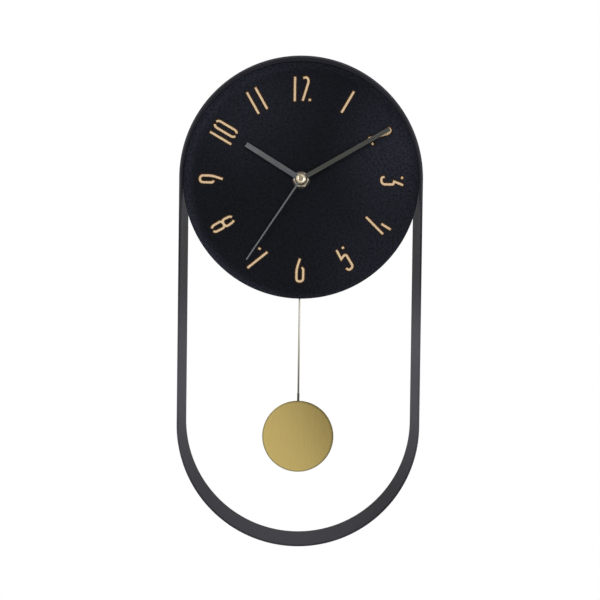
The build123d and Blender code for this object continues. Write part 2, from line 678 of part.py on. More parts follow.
# Pendulum rod: a straight wire whose top is bent back through the lever's eye
hook_z = eye_z - hook_radius
ferrule_top = bob_at[1] + bob_diameter / 2 + ferrule_stub
ferrule_bottom = ferrule_top - ferrule_length
rod_foot = (0, -rod_depth, ferrule_bottom)
rod_bend = (0, -rod_depth, hook_z)
hook_top = (0, -lever_middle, eye_z)
hook_down = (0, -lever_middle + hook_radius, hook_z)
hook_end = (0, -lever_middle + hook_radius, hook_z - hook_tail)
rod_path = Line(rod_foot, rod_bend) + ThreePointArc(rod_bend, hook_top, hook_down) + Line(hook_down, hook_end)
pendulum_rod = sweep(Plane(rod_foot, z_dir=(0, 0, 1)) * Circle(rod_diameter / 2), rod_path)

# Bob: a thin round plate, with a ferrule soldered to its back that takes the wire
bob = disc(bob_diameter, bob_back, bob_front, bob_at)
bob = chamfer(bob.edges(), bob_edge_bevel)
ferrule_foot_plane = Plane.XY.offset(ferrule_bottom) * Pos(0, -rod_depth)
ferrule = extrude(ferrule_foot_plane * Circle(ferrule_diameter / 2), ferrule_length)
foot_top = bob_at[1] + bob_diameter / 2 - ferrule_stub
ferrule_foot = rectangle_between(
    -ferrule_foot_width / 2, foot_top - ferrule_foot_length, ferrule_foot_width / 2, foot_top
)
ferrule += slab(ferrule_foot, bob_back - ferrule_foot_sheet, bob_back)
ferrule -= extrude(ferrule_foot_plane * Circle(rod_diameter / 2), ferrule_length)

nodes = {
    "frame_band": frame_band,
    "hanger_bar": hanger_bar,
    "dial_tabs": Compound(dial_tab_solids),
    "tab_screws": Compound(tab_screw_solids),
    "dial_board": dial_board,
    "threaded_bush": threaded_bush,
    "rubber_washer": rubber_washer,
    "dial_washer": dial_washer,
    "fixing_nut": fixing_nut,
    "movement_front_case": front_case,
    "movement_back_cover": back_cover,
    "train_plate": train_plate,
    "circuit_board": circuit_board,
    "quartz_crystal": quartz_crystal,
    "motor_coil": motor_coil,
    "stator": stator,
    "drive_coil": drive_coil,
    "pivot_pin": pivot_pin,
    "battery_cell": battery_cell,
    "contact_positive": contact_positive,
    "contact_negative": contact_negative,
    "rotor_pinion": rotor_pinion,
    "rotor_magnet": rotor_magnet,
    "fifth_wheel": fifth_wheel,
    "second_wheel": second_wheel,
    "second_hand": second_hand,
    "second_cap": second_cap,
    "third_wheel": third_wheel,
    "centre_wheel": centre_wheel,
    "minute_arbor": minute_arbor,
    "minute_hand": minute_hand,
    "minute_wheel": minute_wheel,
    "setting_knob": setting_knob,
    "hour_wheel": hour_wheel,
    "hour_hand": hour_hand,
    "pendulum_lever": pendulum_lever,
    "pendulum_magnet": pendulum_magnet,
    "pendulum_rod": pendulum_rod,
    "bob_ferrule": ferrule,
    "bob": bob,
}
os.makedirs("parts", exist_ok=True)
for name, shape in nodes.items():
    export_step(shape, f"parts/{name}.step")
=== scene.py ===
"""Looks of the pendulum wall clock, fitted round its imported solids.

Sizes in the classes are millimetres and meshes are metres. X runs to the right, Z up, and the front faces -Y, so
"depth" is the distance from the wall and equals minus Y.
"""

import logging
import math
from dataclasses import dataclass, field
from enum import Enum
from typing import Any, Callable, Iterable, Mapping, Optional, Sequence, Union

import bmesh
import bpy
import numpy as np
from mathutils import Matrix, Vector


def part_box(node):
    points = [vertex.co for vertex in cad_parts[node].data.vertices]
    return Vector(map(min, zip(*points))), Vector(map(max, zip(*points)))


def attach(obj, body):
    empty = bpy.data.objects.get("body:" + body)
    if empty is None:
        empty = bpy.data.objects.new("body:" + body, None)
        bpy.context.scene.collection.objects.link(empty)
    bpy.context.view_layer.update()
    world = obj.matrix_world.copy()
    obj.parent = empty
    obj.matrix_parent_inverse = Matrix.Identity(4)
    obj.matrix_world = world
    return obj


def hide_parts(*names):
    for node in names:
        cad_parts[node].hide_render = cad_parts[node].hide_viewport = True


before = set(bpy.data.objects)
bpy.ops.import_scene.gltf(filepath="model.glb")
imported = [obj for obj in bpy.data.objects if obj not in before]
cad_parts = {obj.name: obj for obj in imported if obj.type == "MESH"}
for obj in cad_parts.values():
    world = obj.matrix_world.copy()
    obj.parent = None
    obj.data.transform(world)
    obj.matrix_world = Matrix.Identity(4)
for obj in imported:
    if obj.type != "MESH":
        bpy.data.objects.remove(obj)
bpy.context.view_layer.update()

MM = 0.001
WELD = 2e-6  # metres within which two points count as one
FLAT_ANGLE = 0.5  # degrees of bend up to which two faces count as one
CLEAR = 1.0  # millimetres by which a cutter stands out of the face that it cuts
SAME = 1e-6  # millimetres within which two points of a line count as one
NEARER = 0.01  # millimetres by which a line's parallel may come too near to it
HOUR_ANGLE = 30.0  # degrees from one hour to the next
LOG = logging.getLogger("clock")
Colour = tuple[float, float, float]
Point = tuple[float, float]
# a patch of painted light, or painted shade where its lift is negative
PaintedLightSpot = tuple[Point, float, float]  # place as x and z, reach, lift


def shade(code: str) -> Colour:
    """Turns a colour written as six hexadecimal digits into linear light, by the sRGB curve.

    Args:
        code: red, green and blue as two digits each, as they look on a screen.

    Returns:
        The three channels as linear values from 0 to 1.
    """
    screen = np.array([int(code[i:i + 2], 16) for i in (0, 2, 4)]) / 255.0
    linear = np.where(screen <= 0.04045, screen / 12.92, ((screen + 0.055) / 1.055) ** 2.4)
    return tuple(float(channel) for channel in linear)


@dataclass(frozen=True)
class Extent:
    """Lowest and highest corner of a solid at rest, in millimetres."""

    low: np.ndarray
    high: np.ndarray

    @classmethod
    def of(cls, node: str) -> "Extent":
        """Reads a solid's box from the frame."""
        low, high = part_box(node)
        return cls(np.array(low) / MM, np.array(high) / MM)

    @property
    def middle(self) -> np.ndarray:
        """The box's centre."""
        return (self.low + self.high) / 2

    @property
    def back(self) -> float:
        """Depth of the face nearest the wall."""
        return -float(self.high[1])

    @property
    def front(self) -> float:
        """Depth of the face nearest the viewer."""
        return -float(self.low[1])

    @property
    def plan(self) -> Point:
        """The centre as x and z, seen from the front."""
        return float(self.middle[0]), float(self.middle[2])

    def spread(self, axis: int) -> float:
        """The box's length along one axis."""
        return float(self.high[axis] - self.low[axis])


# ---------------------------------------------------------------------------------------------------- shader maths


def operator(operation: str, swapped: bool = False) -> Callable[["Value", Any], "Value"]:
    """Makes a method of Value that adds one Math node.

    Args:
        operation: the node's operation.
        swapped: whether the other operand comes first, as the reflected forms need.

    Returns:
        The method. It takes a Value or a number and returns the node's result.
    """

    def method(self: "Value", other: Any) -> "Value":
        """Adds the node."""
        first, second = (other, self) if swapped else (self, other)
        return self.graph.value("ShaderNodeMath", 0, {"operation": operation}, {0: first, 1: second})

    return method


class Value:
    """A single-number socket whose operators add Math nodes."""

    __add__ = operator("ADD")
    __radd__ = operator("ADD", swapped=True)
    __sub__ = operator("SUBTRACT")
    __rsub__ = operator("SUBTRACT", swapped=True)
    __mul__ = operator("MULTIPLY")
    __rmul__ = operator("MULTIPLY", swapped=True)
    __gt__ = operator("GREATER_THAN")

    def __init__(self, graph: "Graph", socket: bpy.types.NodeSocket) -> None:
        """Keeps the socket with the graph it belongs to."""
        self.graph = graph
        self.socket = socket

    def sine(self) -> "Value":
        """Sine of an angle in radians."""
        return self.graph.value("ShaderNodeMath", 0, {"operation": "SINE"}, {0: self})

    def sway(self, amount: float) -> "Value":
        """How far a noise departs from one half, times an amount."""
        return (self - 0.5) * amount

    def stepped(self, start: float, end: float) -> "Value":
        """Rises smoothly from nought at start to one at end."""
        return self.graph.value(
            "ShaderNodeMapRange", "Result", {"interpolation_type": "SMOOTHSTEP", "clamp": True},
            {"Value": self, "From Min": start, "From Max": end, "To Min": 0.0, "To Max": 1.0},
        )


class Graph:
    """The nodes of one material or world."""

    def __init__(self, owner: Union[bpy.types.Material, bpy.types.World]) -> None:
        """Empties the owner's nodes."""
        owner.use_nodes = True
        self.tree = owner.node_tree
        self.tree.nodes.clear()

    def node(
        self, kind: str, settings: Optional[Mapping[str, Any]] = None, sockets: Optional[Mapping[Any, Any]] = None
    ) -> bpy.types.Node:
        """Adds one node.

        Args:
            kind: the node's type.
            settings: its properties, set first.
            sockets: values or links of its inputs, by name or number.

        Returns:
            The node.
        """
        node = self.tree.nodes.new(kind)
        for key, value in (settings or {}).items():
            setattr(node, key, value)
        for key, value in (sockets or {}).items():
            self.feed(node.inputs[key], value)
        return node

    def feed(self, socket: bpy.types.NodeSocket, value: Any) -> None:
        """Links a Value or socket to an input, or sets the input's number or colour."""
        if isinstance(value, Value):
            self.tree.links.new(value.socket, socket)
        elif isinstance(value, bpy.types.NodeSocket):
            self.tree.links.new(value, socket)
        elif isinstance(value, tuple) and socket.type == "RGBA" and len(value) == 3:
            socket.default_value = (*value, 1.0)
        else:
            socket.default_value = value

    def value(
        self, kind: str, output: Union[str, int], settings: Optional[Mapping[str, Any]], sockets: Mapping[Any, Any]
    ) -> Value:
        """Adds one node, as "node" does, and wraps one of its outputs."""
        return Value(self, self.node(kind, settings, sockets).outputs[output])

    def vector(self, operation: str, first: Any, second: Any) -> bpy.types.NodeSocket:
        """Adds one Vector Math node with two operands."""
        node = self.node("ShaderNodeVectorMath", {"operation": operation}, {0: first, 1: second})
        return node.outputs["Vector"]

    def where(
        self,
        centre: Sequence[float] = (0.0, 0.0, 0.0),
        turn: float = 0.0,
        stretch: tuple[float, float, float] = (1.0, 1.0, 1.0),
    ) -> bpy.types.NodeSocket:
        """Object coordinates about a centre, turned about the depth axis, then stretched.

        Args:
            centre: the new origin, in millimetres.
            turn: degrees that bring a direction at that angle clockwise from up, seen from the front, onto Z.
            stretch: factors along X, Y and Z after the turn.

        Returns:
            The vector socket, in metres times the stretch.
        """
        place = self.node("ShaderNodeTexCoord").outputs["Object"]
        moved = self.vector("SUBTRACT", place, tuple(c * MM for c in centre))
        lean = (0.0, math.radians(-turn), 0.0)
        mapped = self.node("ShaderNodeMapping", {"vector_type": "POINT"}, {"Vector": moved, "Rotation": lean})
        return self.vector("MULTIPLY", mapped.outputs["Vector"], stretch)

    def part(self, vector: bpy.types.NodeSocket, axis: str) -> Value:
        """One component of a vector."""
        return self.value("ShaderNodeSeparateXYZ", axis, None, {"Vector": vector})

    def distance(self, centre: Point) -> Value:
        """Metres from an axis that points to the front through a centre given as x and z."""
        flat = self.where((centre[0], 0.0, centre[1]), stretch=(1.0, 0.0, 1.0))
        return self.value("ShaderNodeVectorMath", "Value", {"operation": "LENGTH"}, {0: flat})

    def noise(self, where: bpy.types.NodeSocket, scale: float, detail: float = 2.0, rough: float = 0.5) -> Value:
        """Cloudy noise round one half.

        Args:
            where: coordinates, in metres.
            scale: cells in a metre.
            detail: octaves above the first.
            rough: strength of each octave against the one before.

        Returns:
            The noise, about 0.25 to 0.75.
        """
        return self.value(
            "ShaderNodeTexNoise", "Fac", {"noise_dimensions": "3D"},
            {"Vector": where, "Scale": scale, "Detail": detail, "Roughness": rough},
        )

    def cells(self, where: bpy.types.NodeSocket, scale: float, random: bool = False) -> Value:
        """Voronoi cells, as distance from the nearest seed or as one random number a cell."""
        node = self.node("ShaderNodeTexVoronoi", {"feature": "F1"}, {"Vector": where, "Scale": scale})
        return self.part(node.outputs["Color"], "X") if random else Value(self, node.outputs["Distance"])

    def mix(self, factor: Any, first: Any, second: Any) -> bpy.types.NodeSocket:
        """Blends two colours, the second as far as the factor goes from nought to one."""
        settings = {"data_type": "RGBA", "clamp_factor": True}
        return self.node("ShaderNodeMix", settings, {"Factor": factor, 6: first, 7: second}).outputs[2]

    def lit(self, colour: Any, gain: Any) -> bpy.types.NodeSocket:
        """Scales a colour by a number."""
        scaled = self.node("ShaderNodeVectorMath", {"operation": "SCALE"}, {0: colour, "Scale": gain})
        return scaled.outputs["Vector"]

    def relief(self, height: Any, depth: float) -> bpy.types.NodeSocket:
        """Bumps the normal by a height of nought to one, where one stands for a depth in millimetres."""
        node = self.node("ShaderNodeBump", None, {"Height": height, "Distance": depth * MM, "Strength": 1.0})
        return node.outputs["Normal"]


@dataclass(frozen=True)
class Finish:
    """A surface finish: a constant base that each kind varies with its own pattern."""

    name: str
    colour: Colour
    roughness: float
    metallic: float = 0.0
    specular: float = 0.5

    def pattern(self, graph: Graph) -> dict[str, Any]:
        """What varies over the surface.

        Args:
            graph: the material's nodes.

        Returns:
            Values by the shader's socket: Base Color, Roughness, Normal and sometimes Metallic.
        """
        raise NotImplementedError

    def material(self) -> bpy.types.Material:
        """Builds the material.

        Returns:
            The material with its shader joined to the output.
        """
        material = bpy.data.materials.new(self.name)
        graph = Graph(material)
        sockets = {"Metallic": self.metallic, "Specular IOR Level": self.specular, **self.pattern(graph)}
        shader = graph.node("ShaderNodeBsdfPrincipled", None, sockets)
        graph.node("ShaderNodeOutputMaterial", None, {"Surface": shader.outputs[0]})
        return material


@dataclass(frozen=True)
class SprayedPaint(Finish):
    """Sprayed or powdered paint: soft unevenness, fine grain and an orange-peel skin."""

    grain: float = 0.35
    grain_cells: float = 1600.0
    drift: float = 0.5
    drift_cells: float = 18.0
    skin_depth: float = 0.03
    skin_cells: float = 700.0

    def pattern(self, graph: Graph) -> dict[str, Any]:
        """Grain and drift in the colour, skin in the normal."""
        where = graph.where()
        fine = graph.noise(where, self.grain_cells, 3.0, 0.6)
        drift = graph.noise(where, self.drift_cells)
        skin = graph.noise(where, self.skin_cells)
        return {
            "Base Color": graph.lit(self.colour, 1.0 + fine.sway(2.0 * self.grain) + drift.sway(self.drift)),
            "Roughness": self.roughness + fine.sway(0.18) + drift.sway(0.1),
            "Normal": graph.relief(skin * 0.7 + fine * 0.3, self.skin_depth),
        }


@dataclass(frozen=True)
class PaintWithPaintedLight(SprayedPaint):
    """Sprayed paint with painted light: paler away from a centre, and that painted light fades back further out.

    Spots are painted light too, or painted shade where their lift is negative.
    """

    centre: Point = (0.0, 0.0)
    inside: float = 0.0
    outside: float = 1.0
    lift: float = 0.5
    fading: float = 1000.0
    faded: float = 1100.0
    kept: float = 1.0
    light_and_shade_spots: tuple[PaintedLightSpot, ...] = ()

    def pattern(self, graph: Graph) -> dict[str, Any]:
        """The sprayed pattern with painted light, paler from outside to fading and in the spots, with part of that
        kept past faded.
        """
        sprayed = super().pattern(graph)
        away = graph.distance(self.centre)
        edge = away.stepped(self.inside * MM, self.outside * MM)
        far = away.stepped(self.fading * MM, self.faded * MM)
        # painted light and shade: the gain brightens or darkens the paint's colour where light would fall or shade
        # would lie
        gain = 1.0 + edge * (1.0 - far * (1.0 - self.kept)) * self.lift
        for place, reach, lift in self.light_and_shade_spots:
            gain = gain + graph.distance(place).stepped(reach * MM, 0.0) * lift
        sprayed["Base Color"] = graph.lit(sprayed["Base Color"], gain)
        return sprayed


@dataclass(frozen=True)
class BoardFibre(Finish):
    """Bare wood fibre laid open by the cutter: pale flecks, dark threads and a soft drift of tone."""

    dark: Colour = (0.2, 0.1, 0.04)
    fleck_cells: float = 1400.0
    fleck_depth: float = 0.06
    thread_cells: float = 900.0
    drift_cells: float = 60.0

    def pattern(self, graph: Graph) -> dict[str, Any]:
        """Flecks and threads in the colour, fibre in the normal."""
        where = graph.where()
        fleck = graph.noise(where, self.fleck_cells, 4.0, 0.65)
        thread = graph.cells(where, self.thread_cells).stepped(0.62, 0.95)
        drift = graph.noise(where, self.drift_cells)
        toned = graph.lit(self.colour, 0.86 + fleck * 0.2 + drift * 0.16)
        return {
            "Base Color": graph.mix(thread * 0.35, toned, self.dark),
            "Roughness": self.roughness + fleck.sway(0.2),
            "Normal": graph.relief(fleck, self.fleck_depth),
        }


@dataclass(frozen=True)
class BrushedMetal(Finish):
    """Metal brushed in one direction: long fine scratches and a slow change of tone across them."""

    centre: tuple[float, float, float] = (0.0, 0.0, 0.0)
    turn: float = 0.0
    depth: float = 0.012
    contrast: float = 0.25
    haze: float = 0.16
    across: float = 2600.0
    along: float = 45.0

    def pattern(self, graph: Graph) -> dict[str, Any]:
        """Scratches in colour, roughness and normal, stretched along the brushing."""
        fine = (self.across, self.across, self.along)
        broad = (self.across * 0.12, self.across * 0.12, self.along * 0.3)
        scratch = graph.noise(graph.where(self.centre, self.turn, fine), 1.0, 3.0, 0.6)
        band = graph.noise(graph.where(self.centre, self.turn, broad), 1.0, 1.0)
        gain = 1.0 + scratch.sway(self.contrast) + band.sway(self.contrast * 0.6)
        return {
            "Base Color": graph.lit(self.colour, gain),
            "Roughness": self.roughness + scratch.sway(self.haze) + band.sway(self.haze * 0.5),
            "Normal": graph.relief(scratch, self.depth),
        }


@dataclass(frozen=True)
class DownShadedWire(BrushedMetal):
    """Drawn wire with painted shade: darker towards its lower end, in place of dimmer reflections there."""

    lower_shade: Colour = (0.1, 0.1, 0.09)
    shade_start: float = 0.0
    shade_full: float = -1.0

    def pattern(self, graph: Graph) -> dict[str, Any]:
        """The brushing of the plain metal, blended towards the painted shade's colour from the upper height down to
        the lower one.
        """
        drawn = super().pattern(graph)
        height = graph.part(graph.where(), "Z")
        darkening = height.stepped(self.shade_start * MM, self.shade_full * MM)
        drawn["Base Color"] = graph.mix(darkening, drawn["Base Color"], self.lower_shade)
        return drawn


@dataclass(frozen=True)
class EdgeShadedMetal(BrushedMetal):
    """A brushed plate with painted shade along its round edge."""

    rim: Colour = (0.2, 0.2, 0.1)
    inside: float = 0.0
    outside: float = 1.0

    def pattern(self, graph: Graph) -> dict[str, Any]:
        """The brushing, blended towards the painted shade's colour between two distances from the middle."""
        brushed = super().pattern(graph)
        distance = graph.distance((self.centre[0], self.centre[2]))
        edge = distance.stepped(self.inside * MM, self.outside * MM)
        brushed["Base Color"] = graph.mix(edge, brushed["Base Color"], self.rim)
        return brushed


@dataclass(frozen=True)
class TurnedMetal(Finish):
    """Metal faced on a lathe: fine rings round an axis that points to the front."""

    centre: Point = (0.0, 0.0)
    rings: float = 3200.0
    depth: float = 0.006
    tarnish_cells: float = 420.0

    def pattern(self, graph: Graph) -> dict[str, Any]:
        """Rings in colour, roughness and normal, from the distance to the axis."""
        ring = graph.value(
            "ShaderNodeTexNoise", "Fac", {"noise_dimensions": "1D"},
            {"W": graph.distance(self.centre), "Scale": self.rings, "Detail": 2.0},
        )
        tarnish = graph.noise(graph.where(), self.tarnish_cells, 3.0)
        return {
            "Base Color": graph.lit(self.colour, 0.94 + ring.sway(0.2) + tarnish.sway(0.22)),
            "Roughness": self.roughness + ring.sway(0.12) + tarnish.sway(0.16),
            "Normal": graph.relief(ring, self.depth),
        }


@dataclass(frozen=True)
class MouldedPlastic(Finish):
    """Injection-moulded plastic: a spark-eroded skin with faint flow marks."""

    skin: float = 0.025
    skin_cells: float = 2200.0
    flow_cells: float = 90.0
    flow_turn: float = 25.0

    def pattern(self, graph: Graph) -> dict[str, Any]:
        """Skin in the normal, flow marks in colour and roughness."""
        pits = graph.cells(graph.where(), self.skin_cells)
        flow = graph.noise(graph.where(turn=self.flow_turn, stretch=(1.0, 1.0, 0.3)), self.flow_cells)
        return {
            "Base Color": graph.lit(self.colour, 0.9 + flow * 0.2 + pits * 0.1),
            "Roughness": self.roughness + flow.sway(0.14) + (pits - 0.4) * 0.1,
            "Normal": graph.relief(pits, self.skin),
        }


@dataclass(frozen=True)
class PlatedSteel(Finish):
    """Zinc-plated or rolled sheet: crystal patches, roll marks and a few darker stains."""

    patch_cells: float = 160.0
    stain_cells: float = 55.0
    roll_depth: float = 0.008

    def pattern(self, graph: Graph) -> dict[str, Any]:
        """Patches in colour and roughness, roll marks in the normal."""
        where = graph.where()
        patch = graph.cells(where, self.patch_cells, random=True)
        rolled = graph.noise(graph.where(stretch=(40.0, 1800.0, 1800.0)), 1.0)
        stain = graph.noise(where, self.stain_cells, 3.0).stepped(0.55, 0.75)
        clean = graph.lit(self.colour, 0.9 + patch.sway(0.16) + rolled.sway(0.15))
        return {
            "Base Color": graph.mix(stain * 0.25, clean, graph.lit(self.colour, 0.6)),
            "Roughness": self.roughness + patch.sway(0.14) + stain * 0.12,
            "Normal": graph.relief(rolled, self.roll_depth),
        }


@dataclass(frozen=True)
class WoundWire(Finish):
    """Enamelled wire wound in tight turns along one axis."""

    axis: str = "X"
    pitch: float = 0.16
    lay_cells: float = 900.0

    def pattern(self, graph: Graph) -> dict[str, Any]:
        """Turns as a wave in the normal, and as darker lines between them."""
        where = graph.where()
        wave = (graph.part(where, self.axis) * (2.0 * math.pi / (self.pitch * MM))).sine()
        turn = wave * 0.5 + 0.5
        lay = graph.noise(where, self.lay_cells)
        return {
            "Base Color": graph.lit(self.colour, 0.55 + turn * 0.4 + lay * 0.2),
            "Roughness": self.roughness + lay.sway(0.15),
            "Normal": graph.relief(turn, self.pitch * 0.3),
        }


@dataclass(frozen=True)
class PrintedLaminate(Finish):
    """Circuit board: woven glass under a lacquer, with bare tracks showing through as paler lines."""

    track: Colour = (0.3, 0.2, 0.06)
    track_cells: float = 240.0
    depth: float = 0.02

    def pattern(self, graph: Graph) -> dict[str, Any]:
        """Tracks from stepped cells, weave in the normal."""
        run = graph.cells(graph.where(stretch=(1.0, 1.0, 2.6)), self.track_cells, random=True)
        weave = graph.noise(graph.where(turn=45.0, stretch=(2400.0, 2400.0, 300.0)), 1.0, 1.0)
        mask = (run > 0.62) * 0.8
        return {
            "Base Color": graph.mix(mask, graph.lit(self.colour, 0.8 + weave * 0.4), self.track),
            "Roughness": self.roughness + weave.sway(0.2),
            "Normal": graph.relief(weave * 0.4 + mask * 0.6, self.depth),
        }


@dataclass(frozen=True)
class CellJacket(Finish):
    """The dry cell's plain sleeve: two colours that meet at a line, bare metal past its ends."""

    start: float = 0.0
    split: float = 0.0
    end: float = 0.0
    second: Colour = (0.6, 0.35, 0.1)
    bare: Colour = (0.6, 0.6, 0.6)
    ripple_depth: float = 0.01

    def pattern(self, graph: Graph) -> dict[str, Any]:
        """Colour, roughness and metal by place along the cell, with a film's faint ripple."""
        place = graph.part(graph.where(), "X")
        sleeve = (place > self.start * MM) * (1.0 - (place > self.end * MM))
        ripple = graph.noise(graph.where(stretch=(40.0, 500.0, 500.0)), 1.0)
        first = graph.lit(self.colour, 0.85 + ripple * 0.3)
        two_tone = graph.mix(place > self.split * MM, first, self.second)
        return {
            "Base Color": graph.mix(sleeve, self.bare, two_tone),
            "Roughness": self.roughness + ripple.sway(0.12),
            "Metallic": 1.0 - sleeve * 0.75,
            "Normal": graph.relief(ripple, self.ripple_depth),
        }


@dataclass(frozen=True)
class PressedPowder(Finish):
    """Pressed and sintered or rubbery stuff: a dull speckled body."""

    speck_cells: float = 2600.0
    drift_cells: float = 260.0
    pore_depth: float = 0.02

    def pattern(self, graph: Graph) -> dict[str, Any]:
        """Specks in the colour, pores in the normal."""
        where = graph.where()
        speck = graph.noise(where, self.speck_cells, 3.0, 0.7)
        drift = graph.noise(where, self.drift_cells)
        return {
            "Base Color": graph.lit(self.colour, 0.7 + speck * 0.5 + drift * 0.15),
            "Roughness": self.roughness + speck.sway(0.2),
            "Normal": graph.relief(speck, self.pore_depth),
        }


# ---------------------------------------------------------------------------------------------------------- shapes


@dataclass
class Shell:
    """A closed skin: points in millimetres, four-sided faces, and flat faces that close its ends."""

    points: np.ndarray
    quads: np.ndarray
    lids: list[np.ndarray] = field(default_factory=list)

    @classmethod
    def lofted(cls, loops: np.ndarray, ring: bool = False) -> "Shell":
        """Skins a row of closed loops: corner (i, j) joins (i, j+1), (i+1, j+1) and (i+1, j).

        Args:
            loops: points by loop, by place round the loop, by x, y and z.
            ring: whether the last loop joins the first; otherwise a flat face closes each end.

        Returns:
            The skin, facing outwards.
        """
        rows, columns = loops.shape[:2]
        row = np.arange(rows if ring else rows - 1)[:, None]
        column = np.arange(columns)[None, :]
        beside = (column + 1) % columns
        above = (row + 1) % rows
        here, there = row * columns, above * columns
        quads = np.stack([here + column, here + beside, there + beside, there + column], axis=-1).reshape(-1, 4)
        lids = [] if ring else [np.arange(columns)[::-1], np.arange(columns) + (rows - 1) * columns]
        return cls(loops.reshape(-1, 3), quads, lids).outward()

    def outward(self) -> "Shell":
        """Turns the skin round where the volume that its faces enclose comes out negative."""
        fans = [
            np.stack([np.full(len(lid) - 2, lid[0]), lid[1:-1], lid[2:]], axis=1) for lid in self.lids
        ]
        faces = np.concatenate([self.quads[:, [0, 1, 2]], self.quads[:, [0, 2, 3]], *fans])
        a, b, c = (self.points[faces[:, corner]] for corner in range(3))
        if np.einsum("ij,ij->i", a, np.cross(b, c)).sum() < 0:
            return Shell(self.points, self.quads[:, ::-1], [lid[::-1] for lid in self.lids])
        return self

    def __add__(self, other: "Shell") -> "Shell":
        """Two skins as one."""
        count = len(self.points)
        return Shell(
            np.concatenate([self.points, other.points]),
            np.concatenate([self.quads, other.quads + count]),
            self.lids + [lid + count for lid in other.lids],
        )

    def piece(self, name: str, crease: float = 32.0) -> bpy.types.Object:
        """Makes the skin an object, smooth but for edges that bend more than the crease.

        Args:
            name: the object's name.
            crease: degrees of bend past which an edge stays sharp.

        Returns:
            The object, at the origin.
        """
        mesh = bpy.data.meshes.new(name)
        faces = self.quads.tolist() + [lid.tolist() for lid in self.lids]
        mesh.from_pydata((self.points * MM).tolist(), [], faces)
        return placed(name, mesh, crease)


def creased(mesh: bpy.types.Mesh, crease: float) -> None:
    """Shades a mesh smooth but for edges that bend more than the crease, in degrees."""
    mesh.shade_smooth()
    mesh.set_sharp_from_angle(angle=math.radians(crease))


def placed(name: str, mesh: bpy.types.Mesh, crease: float) -> bpy.types.Object:
    """Puts a mesh into the scene as a smooth object with creased edges.

    Args:
        name: the object's name.
        mesh: its mesh, in metres.
        crease: degrees of bend past which an edge stays sharp.

    Returns:
        The object, at the origin.
    """
    mesh.update()
    creased(mesh, crease)
    thing = bpy.data.objects.new(name, mesh)
    bpy.context.scene.collection.objects.link(thing)
    return thing


def unit(rows: np.ndarray) -> np.ndarray:
    """Rows of vectors brought to length one."""
    return rows / np.linalg.norm(rows, axis=1, keepdims=True)


def full_turn(steps: int) -> np.ndarray:
    """Angles of a full turn, evenly spaced."""
    return np.linspace(0.0, 2 * np.pi, steps, endpoint=False)


def bends(start: np.ndarray, corner: np.ndarray, stop: np.ndarray, steps: int) -> np.ndarray:
    """Rounds corners P between points A and C: parabolas (1-t)^2 A + 2t(1-t) P + t^2 C.

    Args:
        start: the points A, by corner.
        corner: the corners P.
        stop: the points C.
        steps: parts of each parabola.

    Returns:
        Points by corner and by step.
    """
    t = np.linspace(0.0, 1.0, steps + 1)[None, :, None]
    return (1 - t) ** 2 * start[:, None] + 2 * t * (1 - t) * corner[:, None] + t ** 2 * stop[:, None]


def softened(points: Sequence[Point], cuts: Sequence[float], steps: int = 8) -> np.ndarray:
    """Rounds the corners of an open line with parabolas.

    Args:
        points: the line's corners, ends included.
        cuts: how far from each inner corner its parabola starts and stops; nought keeps it sharp.
        steps: parts of each parabola.

    Returns:
        The rounded line's points.
    """
    line = np.array(points, float)
    if len(line) == 2:
        return line
    inner = line[1:-1]
    reach = np.array(cuts, float)[:, None]
    start = inner + unit(line[:-2] - inner) * reach
    stop = inner + unit(line[2:] - inner) * reach
    path = np.concatenate([line[:1], bends(start, inner, stop, steps).reshape(-1, 2), line[-1:]])
    moved = np.linalg.norm(np.diff(path, axis=0), axis=1) > SAME
    return path[np.concatenate([[True], moved])]


def rounded_ring(points: Sequence[Point], radius: Sequence[float], steps: int = 4, hold: float = 1.8) -> np.ndarray:
    """Rounds the corners of a closed outline, with a point on each side that holds the flats flat.

    Args:
        points: the outline's corners.
        radius: how far from each corner the rounding starts.
        steps: parts of each rounding.
        hold: where the holding points lie, in roundings from the corner.

    Returns:
        The outline's points.
    """
    corner = np.array(points, float)
    reach = np.array(radius, float)[:, None]
    before = unit(np.roll(corner, 1, axis=0) - corner) * reach
    after = unit(np.roll(corner, -1, axis=0) - corner) * reach
    curve = bends(corner + before, corner, corner + after, steps)
    first, last = (corner + before * hold)[:, None], (corner + after * hold)[:, None]
    return np.concatenate([first, curve, last], axis=1).reshape(-1, 2)


def ring_section(inner: float, outer: float, extent: Extent, rounds: Sequence[float], steps: int = 4) -> np.ndarray:
    """Distance and depth round the section of a ring or strip that reaches from a solid's back to its front.

    Args:
        inner: distance of the near side, as from a ring's axis or a strip's middle.
        outer: distance of the far side.
        extent: the solid.
        rounds: rounding of the corners: inner back, outer back, outer front and inner front.
        steps: parts of each rounding.

    Returns:
        The section's points.
    """
    back, front = extent.back, extent.front
    return rounded_ring([(inner, back), (outer, back), (outer, front), (inner, front)], rounds, steps)


def revolved(radius: np.ndarray, depth: np.ndarray, centre: Point, ring: bool = False) -> Shell:
    """Rows of radius about an axis to the front: x = r sin a, z = r cos a.

    Args:
        radius: by row and by step of the turn.
        depth: by row and by step, or by row alone as a column.
        centre: the axis as x and z.
        ring: whether the last row joins the first; otherwise flat faces close the ends.

    Returns:
        The skin.
    """
    angle = full_turn(radius.shape[1])
    x = centre[0] + radius * np.sin(angle)
    z = centre[1] + radius * np.cos(angle)
    return Shell.lofted(np.stack([x, np.broadcast_to(-depth, x.shape), z], axis=-1), ring)


def turned(profile: np.ndarray, centre: Point, steps: int = 96, ring: bool = False) -> Shell:
    """A profile turned about an axis to the front.

    Args:
        profile: radius and depth, by point.
        centre: the axis as x and z.
        steps: parts of the turn.
        ring: whether the profile is closed, as on a washer; otherwise flat faces close its ends.

    Returns:
        The skin.
    """
    radius, depth = np.asarray(profile, float).T[:, :, None]
    return revolved(np.repeat(radius, steps, axis=1), depth, centre, ring)


